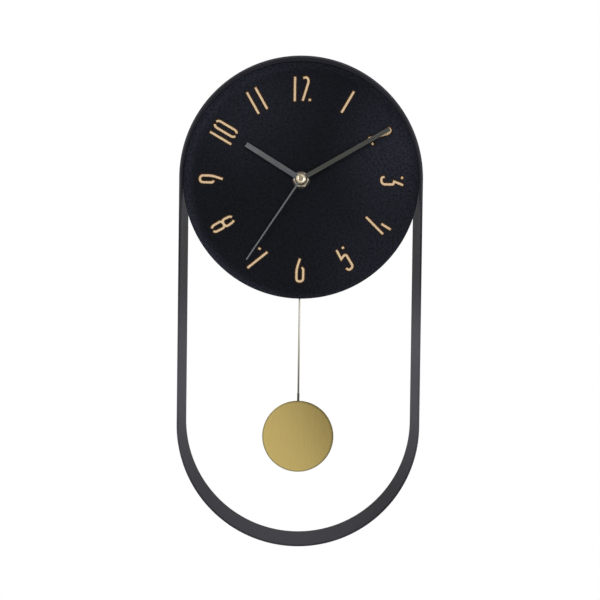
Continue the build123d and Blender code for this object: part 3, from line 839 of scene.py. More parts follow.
def turned_along_x(profile: np.ndarray, depth: float, height: float, steps: int = 64) -> Shell:
    """A profile of radius and x turned about a level axis: y = -(depth + r cos a), z = height + r sin a.

    Args:
        profile: radius and x, by point; flat faces close its ends.
        depth: the axis's depth.
        height: the axis's z.
        steps: parts of the turn.

    Returns:
        The skin.
    """
    angle = full_turn(steps)
    radius, along = np.asarray(profile, float).T[:, :, None]
    y = -(depth + radius * np.cos(angle))
    z = height + radius * np.sin(angle)
    return Shell.lofted(np.stack([np.broadcast_to(along, y.shape), y, z], axis=-1))


def helix(along: np.ndarray, pitch: float, steps: int) -> np.ndarray:
    """A thread's ridge and valley, |2 frac(s / pitch - a / 2 pi) - 1|, from nought to one.

    Args:
        along: distances s from the thread's start, by row.
        pitch: rise in one turn.
        steps: parts of a turn.

    Returns:
        The values by row and by step.
    """
    turn = along[:, None] / pitch - full_turn(steps)[None, :] / (2 * np.pi)
    return np.abs(2 * (turn - np.floor(turn)) - 1.0)


def stacked(outlines: np.ndarray, depths: Sequence[float], ring: bool = False) -> Shell:
    """Outlines seen from the front, one at each depth, skinned one to the next.

    Args:
        outlines: x and z, by outline, by place round it.
        depths: each outline's depth.
        ring: whether the last outline joins the first.

    Returns:
        The skin.
    """
    depth = np.broadcast_to(np.asarray(depths, float)[:, None], outlines.shape[:2])
    return Shell.lofted(np.stack([outlines[..., 0], -depth, outlines[..., 1]], axis=-1), ring)


def paced(path: np.ndarray, step: float = 0.4) -> np.ndarray:
    """A line with more points: its own corners, and others a step apart where none is near."""
    reach = np.concatenate([[0.0], np.cumsum(np.linalg.norm(np.diff(path, axis=0), axis=1))])
    more = np.arange(step, reach[-1], step)
    more = more[np.abs(more[:, None] - reach).min(axis=1) > step / 3]
    places = np.sort(np.concatenate([reach, more]))
    return np.stack([np.interp(places, reach, path[:, axis]) for axis in (0, 1)], axis=1)


def offset_side(path: np.ndarray, width: float) -> np.ndarray:
    """A line's parallel, P + w N, where N mitres the bends.

    Points that a tight bend brings nearer to the line than w are put on the chord between their good neighbours.

    Args:
        path: the line, as x and z.
        width: distance to the right of the line, or to its left where negative.

    Returns:
        One point for each of the line's.
    """
    run = np.diff(path, axis=0)
    length = np.linalg.norm(run, axis=1, keepdims=True)
    side = np.stack([run[:, 1], -run[:, 0]], axis=1) / length
    first = np.concatenate([side[:1], side])
    second = np.concatenate([side, side[-1:]])
    mitre = (first + second) / (1.0 + np.sum(first * second, axis=1, keepdims=True))
    edge = path + width * mitre
    away = edge[:, None] - path[None, :-1]
    share = np.clip(np.sum(away * run, axis=-1) / length[:, 0] ** 2, 0.0, 1.0)
    gap = np.linalg.norm(away - share[..., None] * run, axis=-1).min(axis=1)
    good = gap > abs(width) - NEARER
    order = np.arange(len(path))
    return np.stack([np.interp(order, order[good], edge[good, axis]) for axis in (0, 1)], axis=1)


def groove_cutter(path: np.ndarray, half_widths: Point, depths: Point) -> Shell:
    """A cutter with sloping sides run along a line, its section a trapezium between the line's parallels.

    Args:
        path: the line, as x and z.
        half_widths: half the width at the bottom and at the top.
        depths: depth of the bottom and of the top.

    Returns:
        The cutter's skin.
    """
    line = paced(path)
    (low, high), (floor, top) = half_widths, depths
    loops = []
    for width, depth in ((-low, floor), (low, floor), (high, top), (-high, top)):
        edge = offset_side(line, width)
        loops.append(np.stack([edge[:, 0], np.full(len(line), -depth), edge[:, 1]], axis=1))
    return Shell.lofted(np.stack(loops, axis=1))


def cut(thing: bpy.types.Object, cutters: Iterable[Shell], crease: float) -> None:
    """Takes cutters out of an object, one after another, and keeps only the result.

    Args:
        thing: the object to cut.
        cutters: closed skins.
        crease: degrees of bend past which an edge of the result stays sharp.
    """
    tools = []
    for number, cutter in enumerate(cutters):
        tool = cutter.piece(f"{thing.name}_cutter_{number}")
        step = thing.modifiers.new(tool.name, "BOOLEAN")
        step.object = tool
        step.operation = "DIFFERENCE"
        step.solver = "MANIFOLD"
        tools.append(tool)
    graph = bpy.context.evaluated_depsgraph_get()
    result = bpy.data.meshes.new_from_object(thing.evaluated_get(graph))
    shape = bmesh.new()
    shape.from_mesh(result)
    bmesh.ops.remove_doubles(shape, verts=shape.verts, dist=WELD)
    bmesh.ops.dissolve_degenerate(shape, dist=WELD, edges=shape.edges)
    shape.to_mesh(result)
    shape.free()
    creased(result, crease)
    thing.modifiers.clear()
    old = thing.data
    result.name = old.name
    result.materials.clear()
    thing.data = result
    bpy.data.meshes.remove(old)
    for tool in tools:
        bpy.data.meshes.remove(tool.data)


def face_places(mesh: bpy.types.Mesh) -> np.ndarray:
    """Centres of a mesh's faces, in millimetres."""
    centres = np.zeros(len(mesh.polygons) * 3)
    mesh.polygons.foreach_get("center", centres)
    return centres.reshape(-1, 3) / MM


def eased_copy(node: str, name: str, width: float, angle: float = 40.0) -> bpy.types.Object:
    """A copy of a solid with its sharp edges rounded over, as tools and moulds leave them.

    Args:
        node: the solid.
        name: the new piece's name.
        width: width of the rounding.
        angle: degrees of bend past which an edge is rounded.

    Returns:
        The piece.
    """
    shape = bmesh.new()
    shape.from_mesh(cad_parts[node].data)
    bmesh.ops.remove_doubles(shape, verts=shape.verts, dist=WELD)
    flat = math.radians(FLAT_ANGLE)
    bmesh.ops.dissolve_limit(
        shape, angle_limit=flat, verts=shape.verts, edges=shape.edges, use_dissolve_boundaries=False
    )
    mesh = bpy.data.meshes.new(name)
    shape.to_mesh(mesh)
    shape.free()
    mesh.materials.clear()
    thing = placed(name, mesh, angle)
    rounding = thing.modifiers.new("rounding", "BEVEL")
    rounding.width = width * MM
    rounding.segments = 2
    rounding.limit_method = "ANGLE"
    rounding.angle_limit = math.radians(angle)
    joined = thing.modifiers.new("joined", "WELD")
    joined.merge_threshold = WELD
    flats = thing.modifiers.new("flats", "WEIGHTED_NORMAL")
    flats.mode = "FACE_AREA"
    flats.weight = 100
    flats.keep_sharp = True
    return thing


class Body(Enum):
    """The bodies that pieces ride on."""

    CASE = "case"
    SECONDS = "seconds"
    MINUTES = "minutes"
    HOURS = "hours"
    SETTING = "setting"
    PENDULUM = "pendulum"


def fit(thing: bpy.types.Object, body: Body, nodes: Sequence[str], slot: str, *finishes: Finish) -> None:
    """Gives a piece its body, the solids it stands for and its finishes.

    Args:
        thing: the piece.
        body: what it rides on.
        nodes: the solids that it replaces.
        slot: the record's material slot; not used.
        finishes: finishes for its material slots, in order.
    """
    for finish in finishes:
        thing.data.materials.append(finish.material())
    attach(thing, body.value)
    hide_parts(*nodes)
    LOG.info("%s on %s for %s", thing.name, body.value, ", ".join(nodes))


def dress(finish: Finish, *nodes: str) -> None:
    """Gives solids that stay as they are one finish."""
    material = finish.material()
    for node in nodes:
        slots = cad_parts[node].data.materials
        slots.clear()
        slots.append(material)
        LOG.info("%s dressed in %s", node, finish.name)


# -------------------------------------------------------------------------------------------------- sub-assemblies


@dataclass(frozen=True)
class Lamp:
    """A square soft lamp: where it stands, what it faces, its side, its watts and whether metal mirrors it."""

    name: str
    place: tuple[float, float, float]
    target: tuple[float, float, float]
    size: float
    power: float
    mirrored: bool = True

    def build(self) -> None:
        """Puts the lamp into the scene."""
        data = bpy.data.lights.new(self.name, "AREA")
        data.size = self.size * MM
        data.energy = self.power
        lamp = bpy.data.objects.new(self.name, data)
        lamp.location = Vector(self.place) * MM
        lamp.rotation_mode = "QUATERNION"
        lamp.rotation_quaternion = (Vector(self.target) - Vector(self.place)).to_track_quat("-Z", "Y")
        lamp.visible_glossy = self.mirrored
        bpy.context.scene.collection.objects.link(lamp)


@dataclass
class Studio:
    """Camera, pale floor, white surround, dim card and soft lamps."""

    image: float = 600.0
    focal_pixels: float = 623.28
    eye: tuple[float, float, float] = (-0.19, -685.53, -240.47)
    pitch: float = 0.01206
    roll: float = 0.01293
    shift: Point = (0.0021, 0.07842)
    sensor: float = 36.0
    clip: Point = (0.01, 50.0)
    floor_height: float = -750.0
    floor_half: float = 400.0
    floor_sheet: float = 10.0
    floor_paint: Finish = SprayedPaint("floor_paint", shade("efeeec"), 0.7, grain=0.02, drift=0.02)
    ambient: float = 0.6
    card_depth: float = 760.0
    card_sheet: float = 4.0
    card_corners: tuple[Point, ...] = ((174.0, -700.0), (380.0, -700.0), (340.0, 400.0), (-376.0, 400.0))
    card_level: float = 0.16
    card_cells: float = 4.0
    lamps: tuple[Lamp, ...] = (
        Lamp("key", (-900.0, -1300.0, 700.0), (0.0, -40.0, -160.0), 1000.0, 13.0),
        Lamp("fill", (1100.0, -1200.0, 100.0), (0.0, -40.0, -200.0), 900.0, 6.0),
        Lamp("low", (-100.0, -1100.0, -1100.0), (0.0, -40.0, -60.0), 900.0, 8.0, mirrored=False),
        Lamp("rim", (200.0, 900.0, 700.0), (0.0, 0.0, -200.0), 900.0, 10.0),
    )

    def build(self) -> None:
        """Sets up everything that isn't the clock."""
        self._camera()
        self._floor()
        self._surround()
        self._card()
        for lamp in self.lamps:
            lamp.build()
        bpy.context.scene.view_settings.view_transform = "Standard"

    def _camera(self) -> None:
        """A lens that looks slightly down and leans the top to the right, as the picture does."""
        data = bpy.data.cameras.new("camera")
        data.sensor_width = self.sensor
        data.lens = self.focal_pixels * self.sensor / self.image
        data.shift_x, data.shift_y = self.shift
        data.clip_start, data.clip_end = self.clip
        camera = bpy.data.objects.new("camera", data)
        camera.rotation_mode = "QUATERNION"
        upright = Matrix.Rotation(math.pi / 2 - self.pitch, 3, "X")
        leaning = Matrix.Rotation(self.roll, 3, "Z")
        camera.rotation_quaternion = (upright @ leaning).to_quaternion()
        camera.location = Vector(self.eye) * MM
        bpy.context.scene.collection.objects.link(camera)
        bpy.context.scene.camera = camera

    def _floor(self) -> None:
        """A pale plate under the clock, out of the picture's frame."""
        half, height = self.floor_half, self.floor_height
        outline = np.array([[-half, -half], [half, -half], [half, half], [-half, half]])
        levels = (height - self.floor_sheet, height)
        plate = Shell.lofted(np.stack([np.column_stack([outline, np.full(4, z)]) for z in levels])).piece("floor")
        plate.data.materials.append(self.floor_paint.material())

    def _surround(self) -> None:
        """A world that is white to the eye and in reflections, and lights the clock more gently."""
        world = bpy.data.worlds.new("surround")
        bpy.context.scene.world = world
        graph = Graph(world)
        path = graph.node("ShaderNodeLightPath")
        camera, glossy, through = (
            Value(graph, path.outputs[f"Is {kind} Ray"]) for kind in ("Camera", "Glossy", "Transmission")
        )
        seen = camera + glossy + through > 0.5
        strength = self.ambient + seen * (1.0 - self.ambient)
        light = graph.node("ShaderNodeBackground", None, {"Color": (1.0, 1.0, 1.0), "Strength": strength})
        graph.node("ShaderNodeOutputWorld", None, {"Surface": light.outputs[0]})

    def _card(self) -> None:
        """A dim card behind the camera that only mirrors see, so that polished fronts keep some depth of tone."""
        outlines = np.array([self.card_corners] * 2)
        card = stacked(outlines, [self.card_depth, self.card_depth + self.card_sheet]).piece("dim_card")
        material = bpy.data.materials.new("card_tone")
        graph = Graph(material)
        drift = graph.noise(graph.where(), self.card_cells, 1.0)
        tone = graph.lit((self.card_level,) * 3, 0.9 + drift * 0.2)
        glow = graph.node("ShaderNodeEmission", None, {"Color": tone, "Strength": 1.0})
        graph.node("ShaderNodeOutputMaterial", None, {"Surface": glow.outputs[0]})
        card.data.materials.append(material)
        card.visible_camera = False
        card.visible_diffuse = False
        card.visible_shadow = False
        card.visible_transmission = False


@dataclass
class Carcass:
    """The bent steel loop, its hanger bar, and the tabs and screws that hold the dial."""

    sheet: float = 2.0
    edge_round: float = 0.45
    arc_steps: int = 150
    side_steps: int = 24
    bar_round: float = 0.3
    tab_round: float = 0.25
    tab_bearings: tuple[float, ...] = (20.0, 65.0, 115.0, 160.0)

    screw_circle: float = 113.0
    screw_crease: float = 30.0
    screw_steps: int = 40
    head: float = 5.8
    head_height: float = 1.8
    head_rows: int = 9
    head_start: float = 0.12
    head_power: float = 0.8
    shank: float = 2.9
    shank_rows: int = 49
    neck: float = 0.6
    thread_pitch: float = 1.3
    thread_depth: float = 0.5
    thread_power: int = 3
    point: float = 1.6
    point_left: float = 0.06
    recess_arm: float = 0.45
    recess_narrowing: float = 0.7
    recess_reach: float = 1.5
    recess_depth: float = 1.1

    # painted light and shade on the powder coat: distances from the dial's axis at which the paint turns paler and
    # then fades back to darker; the spots darken or lighten patches as painted shade and light
    painted_shade_reach: float = 168.0
    painted_light_reach: float = 220.0
    painted_light_fade_start: float = 252.0
    painted_light_fade_end: float = 348.0
    light_and_shade_spots: tuple[PaintedLightSpot, ...] = (
        ((-125.0, -151.0), 90.0, -0.46),
        ((125.0, -151.0), 72.0, -0.48),
        ((125.0, -236.0), 60.0, 0.32),
        ((100.0, -405.0), 75.0, -0.26),
    )
    zinc: Finish = PlatedSteel("zinc_plate", shade("b9bcc0"), 0.36, metallic=1.0)

    @property
    def paint(self) -> Finish:
        """Black powder coat with painted shade round the dial and at the foot, and painted light on the sides
        between.
        """
        return PaintWithPaintedLight(
            "frame_powder_coat", shade("333339"), 0.6, specular=0.035, grain=0.5, grain_cells=900.0, skin_depth=0.05,
            skin_cells=520.0, centre=Extent.of("dial_board").plan, inside=self.painted_shade_reach, outside=self.painted_light_reach,
            lift=0.62, fading=self.painted_light_fade_start, faded=self.painted_light_fade_end, kept=-0.35, light_and_shade_spots=self.light_and_shade_spots,
        )

    def screw_places(self) -> list[Point]:
        """The wood screws' axes as x and z."""
        axis = Extent.of("dial_board").plan
        bearings = np.radians(self.tab_bearings)
        across, up = self.screw_circle * np.cos(bearings), self.screw_circle * np.sin(bearings)
        return list(zip(axis[0] + across, axis[1] + up))

    def build(self) -> None:
        """Makes the loop and dresses what is fixed to it."""
        self._band()
        for node, name, width in (
            ("hanger_bar", "hanger_plate", self.bar_round),
            ("dial_tabs", "dial_brackets", self.tab_round),
        ):
            fit(eased_copy(node, name, width), Body.CASE, [node], "frame_paint", self.paint)
        self._screws()

    def _band(self) -> None:
        """A rounded strip section carried round the loop: point = centre line + offset times its normal."""
        extent = Extent.of("frame_band")
        half, outer = self.sheet / 2, extent.spread(0) / 2
        radius = outer - half
        top, foot = extent.high[2] - outer, extent.low[2] + outer
        arc = np.linspace(-np.pi / 2, np.pi / 2, self.arc_steps + 1)
        run = np.linspace(0.0, 1.0, self.side_steps + 1)[1:-1]
        normal_top = np.stack([np.sin(arc), np.cos(arc)], axis=1)
        normal_side = np.tile([1.0, 0.0], (len(run), 1))
        line_top = normal_top * radius + [0.0, top]
        line_right = np.stack([np.full(len(run), radius), top + (foot - top) * run], axis=1)
        line_foot = -normal_top * radius + [0.0, foot]
        line_left = -line_right + [0.0, top + foot]
        line = np.concatenate([line_top, line_right, line_foot, line_left])
        normal = np.concatenate([normal_top, normal_side, -normal_top, -normal_side])
        section = ring_section(-half, half, extent, [self.edge_round] * 4)
        plan = line[:, None] + normal[:, None] * section[None, :, :1]
        depth = np.broadcast_to(-section[None, :, 1], plan.shape[:2])
        loops = np.stack([plan[..., 0], depth, plan[..., 1]], axis=-1)
        fit(Shell.lofted(loops, ring=True).piece("bent_band"), Body.CASE, ["frame_band"], "frame_paint", self.paint)

    def _screws(self) -> None:
        """Pan-head wood screws: a turned head and a tapering threaded shank, then a cross cut into the head."""
        extent = Extent.of("tab_screws")
        places = self.screw_places()
        first, *others = [self._screw(place, extent) for place in places]
        thing = sum(others, first).piece("wood_screws")
        cut(thing, [bar for place in places for bar in self._cross(place, extent.back)], self.screw_crease)
        fit(thing, Body.CASE, ["tab_screws"], "zinc_steel", self.zinc)

    def _screw(self, place: Point, extent: Extent) -> Shell:
        """One screw: the head is a quarter oval, the shank's radius rises and falls along a helix.

        Args:
            place: its axis as x and z.
            extent: the screws' solid, from the tops of the heads to the points.

        Returns:
            The skin.
        """
        under, tip = extent.back + self.head_height, extent.front
        dome = np.linspace(self.head_start, np.pi / 2, self.head_rows)[:, None]
        head = np.repeat(self.head / 2 * np.sin(dome), self.screw_steps, axis=1)
        head_depth = under - self.head_height * np.cos(dome) ** self.head_power
        along = np.linspace(under, tip, self.shank_rows)[:, None]
        ridge = helix((along - under)[:, 0], self.thread_pitch, self.screw_steps) ** self.thread_power
        height = self.thread_depth * ridge * (along - under > self.neck)
        taper = np.clip((tip - along) / self.point, self.point_left, 1.0)
        shank = (self.shank / 2 - self.thread_depth + height) * taper
        return revolved(np.concatenate([head, shank]), np.concatenate([head_depth, along]), place)

    def _cross(self, place: Point, back: float) -> list[Shell]:
        """Two bars that cut the cross recess."""
        arm, reach = self.recess_arm, self.recess_reach
        bars = []
        for dx, dz in ((reach, 0.0), (0.0, reach)):
            path = np.array([[place[0] - dx, place[1] - dz], [place[0] + dx, place[1] + dz]])
            widths = (arm, arm * self.recess_narrowing)
            bars.append(groove_cutter(path, widths, (back - CLEAR, back + self.recess_depth)))
        return bars


class Digit(Enum):
    """Single-stroke figures on a 26 mm body: each stroke as its corners and the cuts that round them."""

    ZERO = (
        (((-1.4, 12.7), (-3.8, 10.7), (-3.8, -10.3), (-1.4, -12.2)), (2.2, 2.2)),
        (((1.4, 12.7), (3.8, 10.7), (3.8, -10.3), (1.4, -12.2)), (2.2, 2.2)),
    )
    ONE = ((((0.0, 12.9), (0.0, -12.9)), ()),)
    TWO = (
        (((-3.5, 11.5), (0.6, 12.6), (2.4, 8.4), (-3.8, -12.2)), (2.1, 2.1)),
        (((2.2, -10.9), (5.0, -10.9)), ()),
    )
    THREE = (
        (((3.8, 12.1), (0.2, 2.6), (3.2, 1.8), (3.2, -10.5), (-4.2, -10.7), (-4.3, -7.2)), (0.0, 1.2, 4.0, 2.2)),
        (((-5.1, 10.8), (-2.3, 10.8)), ()),
    )
    FOUR = (
        (((1.8, 16.7), (-4.6, -7.8)), ()),
        (((3.65, -0.7), (3.6, -12.3)), ()),
    )
    FIVE = (
        (((-3.3, 12.8), (-3.6, 2.2), (3.0, 5.2), (3.6, -11.2), (-2.4, -11.7), (-3.7, -8.3)), (0.0, 3.6, 4.0, 2.0)),
        (((2.15, 11.6), (5.05, 11.6)), ()),
    )
    SIX = (
        (((-0.1, 12.8), (-3.6, 1.2), (-3.6, -11.0), (3.3, -11.0), (3.5, 2.6), (1.4, 3.2)), (4.0, 3.4, 3.4, 2.0)),
    )
    SEVEN = (
        (((8.0, 12.2), (-1.5, -12.8)), ()),
        (((-2.35, 10.9), (0.55, 10.9)), ()),
    )
    EIGHT = (
        (
            ((-1.6, -11.6), (-3.6, -9.5), (-3.8, 0.7), (4.0, 2.6), (3.3, 11.0), (1.9, 12.6)),
            (2.2, 2.2, 2.2, 1.8),
        ),
        (
            ((1.5, -11.4), (3.5, -9.6), (3.7, 0.8), (-4.0, 2.5), (-3.5, 11.2), (-1.6, 12.6)),
            (2.0, 2.2, 2.2, 1.8),
        ),
    )


@dataclass(frozen=True)
class Numeral:
    """An hour's figures, each with its place along the line of writing."""

    hour: int
    digits: tuple[tuple[Digit, float], ...]
    upside: bool = False
    half_turn: bool = False

    def strokes(self, ring: float) -> list[np.ndarray]:
        """Lays the figures on the dial.

        Args:
            ring: distance of the figures' middles from the hands' axis.

        Returns:
            Lines of points as x and z about that axis; each is R(u, v + ring), or turned round on the lower hours.
        """
        angle = math.radians(HOUR_ANGLE * self.hour)
        outward = np.array([math.sin(angle), math.cos(angle)])
        clockwise = np.array([math.cos(angle), -math.sin(angle)])
        up, right = (-outward, -clockwise) if self.upside else (outward, clockwise)
        lines = []
        for digit, place in self.digits:
            for corners, cuts in digit.value:
                line = softened(corners, cuts) * (-1.0 if self.half_turn else 1.0) + [place, 0.0]
                lines.append(line[:, :1] * right + line[:, 1:] * up + outward * ring)
        return lines


@dataclass
class Dial:
    """The painted fibre board with its figures cut through the paint."""

    ring: float = 94.0
    figure_zone: Point = (40.0, 115.0)
    edge_round: float = 0.8
    back_round: float = 0.4
    bore_round: float = 0.2
    round_steps: int = 6
    steps: int = 240
    crease: float = 25.0
    stroke_floor: float = 1.12
    stroke_top: float = 1.62
    stroke_depth: float = 0.8
    scorch_half: float = 2.42
    scorch_depth: float = 0.06
    face_slack: float = 0.01
    floor_slack: float = 0.02
    under_slack: float = 0.05
    bush_hole: float = 8.4
    pilot: float = 2.9
    pilot_depth: float = 4.05
    pilot_steps: int = 24
    numerals: tuple[Numeral, ...] = (
        Numeral(12, ((Digit.ONE, -7.6), (Digit.TWO, 4.3))),
        Numeral(1, ((Digit.ONE, 0.3),)),
        Numeral(2, ((Digit.TWO, 0.0),)),
        Numeral(3, ((Digit.THREE, 0.0),)),
        Numeral(4, ((Digit.FOUR, 0.0),), upside=True),
        Numeral(5, ((Digit.FIVE, 0.0),), upside=True),
        Numeral(6, ((Digit.SIX, 0.0),), upside=True),
        Numeral(7, ((Digit.SEVEN, 0.0),), upside=True),
        Numeral(8, ((Digit.EIGHT, 0.0),), upside=True),
        Numeral(9, ((Digit.SIX, 0.0),), half_turn=True),
        Numeral(10, ((Digit.ONE, -5.2), (Digit.ZERO, 5.7))),
        Numeral(11, ((Digit.ONE, -4.7), (Digit.ONE, 5.4))),
    )

    # painted light and painted sheen: the paint turns paler towards the rim and in soft patches
    rim_shift: Point = (5.0, -2.0)
    rim_start: float = 0.925
    rim_past: float = 5.0
    painted_sheen_spots: tuple[PaintedLightSpot, ...] = (
        ((110.0, 34.0), 100.0, 1.9),
        ((95.0, -88.0), 115.0, 0.9),
        ((-62.0, 80.0), 100.0, 1.0),
    )
    fibre: Finish = BoardFibre("cut_fibre", shade("c0a785"), 0.8, specular=0.2)
    burnt: Finish = BoardFibre("burnt_fibre", shade("4a3524"), 0.85, specular=0.1, dark=shade("1c0f06"))
    scorch: Finish = BoardFibre("scorched_paint", shade("22150c"), 0.8, specular=0.08, dark=shade("120b07"))

    def build(self) -> None:
        """Turns the board, cuts the figures, and paints each kind of face."""
        extent = Extent.of("dial_board")
        axis, face = extent.plan, extent.front
        radius = extent.spread(2) / 2
        rounds = [self.bore_round, self.back_round, self.edge_round, self.bore_round]
        section = ring_section(self.bush_hole / 2, radius, extent, rounds, self.round_steps)
        board = turned(section, axis, self.steps, ring=True).piece("dial_disc")
        lines = [line + axis for numeral in self.numerals for line in numeral.strokes(self.ring)]
        cut(board, self._cutters(lines, face) + self._pilots(extent), self.crease)
        self._paint_faces(board, axis, face)
        paint = self._paint(axis, radius)
        fit(board, Body.CASE, ["dial_board"], "dial_paint", paint, self.fibre, self.burnt, self.scorch)

    def _paint(self, axis: Point, radius: float) -> Finish:
        """Sprayed black, painted paler towards the rim and in the spots as painted light and sheen."""
        return PaintWithPaintedLight(
            "dial_black", shade("0e0f14"), 0.75, specular=0.05, grain=1.5, grain_cells=430.0, skin_depth=0.04,
            skin_cells=500.0, centre=(axis[0] + self.rim_shift[0], axis[1] + self.rim_shift[1]),
            inside=radius * self.rim_start, outside=radius + self.rim_past, lift=2.4,
            light_and_shade_spots=tuple(((x + axis[0], z + axis[1]), reach, lift) for (x, z), reach, lift in self.painted_sheen_spots),
        )

    def _cutters(self, lines: Sequence[np.ndarray], face: float) -> list[Shell]:
        """Shallow wide cutters that scorch the paint along the strokes, then the strokes' own with sloping sides.

        Args:
            lines: the strokes' middle lines.
            face: depth of the painted face.

        Returns:
            The cutters.
        """
        top, extra = face + CLEAR, self.scorch_half - self.stroke_top
        wide = (self.scorch_half, self.scorch_half)
        slope = (self.stroke_top - self.stroke_floor) / self.stroke_depth
        narrow = (self.stroke_floor, self.stroke_top + slope * CLEAR)
        shallow, deep = (face - self.scorch_depth, top), (face - self.stroke_depth, top)
        scorches = [groove_cutter(self._lengthened(line, extra), wide, shallow) for line in lines]
        return scorches + [groove_cutter(line, narrow, deep) for line in lines]

    @staticmethod
    def _lengthened(line: np.ndarray, extra: float) -> np.ndarray:
        """A line carried on past both its ends."""
        first = line[0] - line[1]
        last = line[-1] - line[-2]
        line = line.copy()
        line[0] += first / np.linalg.norm(first) * extra
        line[-1] += last / np.linalg.norm(last) * extra
        return line

    def _pilots(self, extent: Extent) -> list[Shell]:
        """The wood screws' holes in the back."""
        ends = (extent.back - CLEAR, extent.back + self.pilot_depth)
        profile = np.array([[self.pilot / 2, depth] for depth in ends])
        return [turned(profile, place, self.pilot_steps) for place in Carcass().screw_places()]

    def _paint_faces(self, board: bpy.types.Object, axis: Point, face: float) -> None:
        """Sorts the faces into paint, groove floors, groove walls and scorched rims by depth.

        Args:
            board: the cut board.
            axis: the hands' axis as x and z.
            face: depth of the painted face.
        """
        centres = face_places(board.data)
        depth = -centres[:, 1]
        radius = np.hypot(centres[:, 0] - axis[0], centres[:, 2] - axis[1])
        bottom = face - self.stroke_depth
        inside = (radius > self.figure_zone[0]) & (radius < self.figure_zone[1])
        inside &= (depth < face - self.face_slack) & (depth > bottom - self.under_slack)
        floor = inside & (depth < bottom + self.floor_slack)
        rim = inside & (depth > face - self.scorch_depth - self.face_slack)
        wall = inside & ~floor & ~rim
        kinds = np.select([floor, wall, rim], [1, 2, 3], 0).astype(np.int32)
        board.data.polygons.foreach_set("material_index", kinds)


@dataclass(frozen=True)
class HandSize:
    """One straight hand: lengths from its axis, widths, and the angle at which it rests."""

    node: str
    body: Body
    length: float
    root: float
    tip: float
    boss: float
    bore: float
    angle: float
    metal: Colour


@dataclass
class HandSet:
    """Three straight hands and the button on the second hand."""

    bevel: float = 0.12
    crease: float = 20.0
    edge_points: int = 24
    tip_points: int = 8
    boss_points: int = 64
    sizes: tuple[HandSize, ...] = (
        HandSize("hour_hand", Body.HOURS, 67.3, 5.4, 5.2, 9.4, 5.2, 301.7, shade("646668")),
        HandSize("minute_hand", Body.MINUTES, 104.8, 4.6, 4.4, 8.4, 3.2, 59.8, shade("545550")),
        HandSize("second_hand", Body.SECONDS, 100.5, 1.9, 1.4, 6.0, 1.0, 213.5, shade("707273")),
    )
    cap_dimple: float = 5.6
    cap_dimple_depth: float = 0.35
    cap_lip: Point = (0.9, 0.1)
    cap_ends: Point = (0.55, 0.1)
    cap_rounds: tuple[float, ...] = (0.05, 0.6, 0.3, 0.3)
    cap_steps: int = 72

    def build(self) -> None:
        """Makes the hands and the button."""
        axis = Extent.of("dial_board").plan
        for size in self.sizes:
            self._hand(size, axis)
        self._cap(axis)

    def _outline(self, size: HandSize, inset: float) -> np.ndarray:
        """Blade edges, square tip and round boss, pointing up, drawn in by an inset.

        Args:
            size: the hand.
            inset: how far the outline lies inside the true one.

        Returns:
            Points as x and z about the axis, in the same order for every inset.
        """
        root, tip = size.root / 2 - inset, size.tip / 2 - inset
        length, boss = size.length - inset, size.boss / 2 - inset
        leave = math.sqrt(boss ** 2 - root ** 2)
        along = np.linspace(leave, length, self.edge_points)
        half = root + (tip - root) * along / length
        right = np.stack([half, along], axis=1)
        across = np.linspace(tip, -tip, self.tip_points)[1:-1]
        end = np.stack([across, np.full(len(across), length)], axis=1)
        left = right[::-1] * [-1.0, 1.0]
        start = math.atan2(half[0], leave)
        sweep = np.linspace(2 * math.pi - start, start, self.boss_points)[1:-1]
        boss_arc = np.stack([np.sin(sweep), np.cos(sweep)], axis=1) * boss
        return np.concatenate([right, end, left, boss_arc])

    def _hand(self, size: HandSize, axis: Point) -> None:
        """Stacks outlines from the bore out over the back, the edge and the front, and back to the bore."""
        extent = Extent.of(size.node)
        outer = self._outline(size, 0.0)
        inner = self._outline(size, self.bevel)
        direction = np.arctan2(outer[:, 0], outer[:, 1])
        bore = np.stack([np.sin(direction), np.cos(direction)], axis=1) * size.bore / 2
        rings = np.stack([bore, inner, outer, outer, inner, bore])
        angle = math.radians(size.angle)
        turn = np.array([[math.cos(angle), -math.sin(angle)], [math.sin(angle), math.cos(angle)]])
        back, front = extent.back, extent.front
        depths = [back, back, back + self.bevel, front - self.bevel, front, front]
        finish = BrushedMetal(
            f"{size.node}_satin", size.metal, 0.38, metallic=0.9, centre=(axis[0], 0.0, axis[1]), turn=size.angle,
            contrast=0.35, depth=0.008, across=3200.0, along=160.0,
        )
        blade = stacked(rings @ turn + axis, depths, ring=True).piece(f"{size.node}_blade", self.crease)
        fit(blade, size.body, [size.node], "hand_metal", finish)

    def _cap(self, axis: Point) -> None:
        """A turned button with a rolled edge and a shallow dimple."""
        extent = Extent.of("second_cap")
        radius = extent.spread(2) / 2
        back, front = extent.back, extent.front
        dimple, floor = self.cap_dimple / 2, front - self.cap_dimple_depth
        (lip, sunk), (start, stop) = self.cap_lip, self.cap_ends
        corners = [
            (start, back), (radius, back), (radius, front),
            (dimple + lip, front), (dimple - sunk, floor), (stop, floor),
        ]
        line = softened(corners, self.cap_rounds)
        brass = TurnedMetal("cap_polish", shade("e6d6b8"), 0.2, metallic=0.82, centre=axis, rings=2600.0)
        fit(turned(line, axis, self.cap_steps).piece("cap_button"), Body.SECONDS, ["second_cap"], "cap_brass", brass)


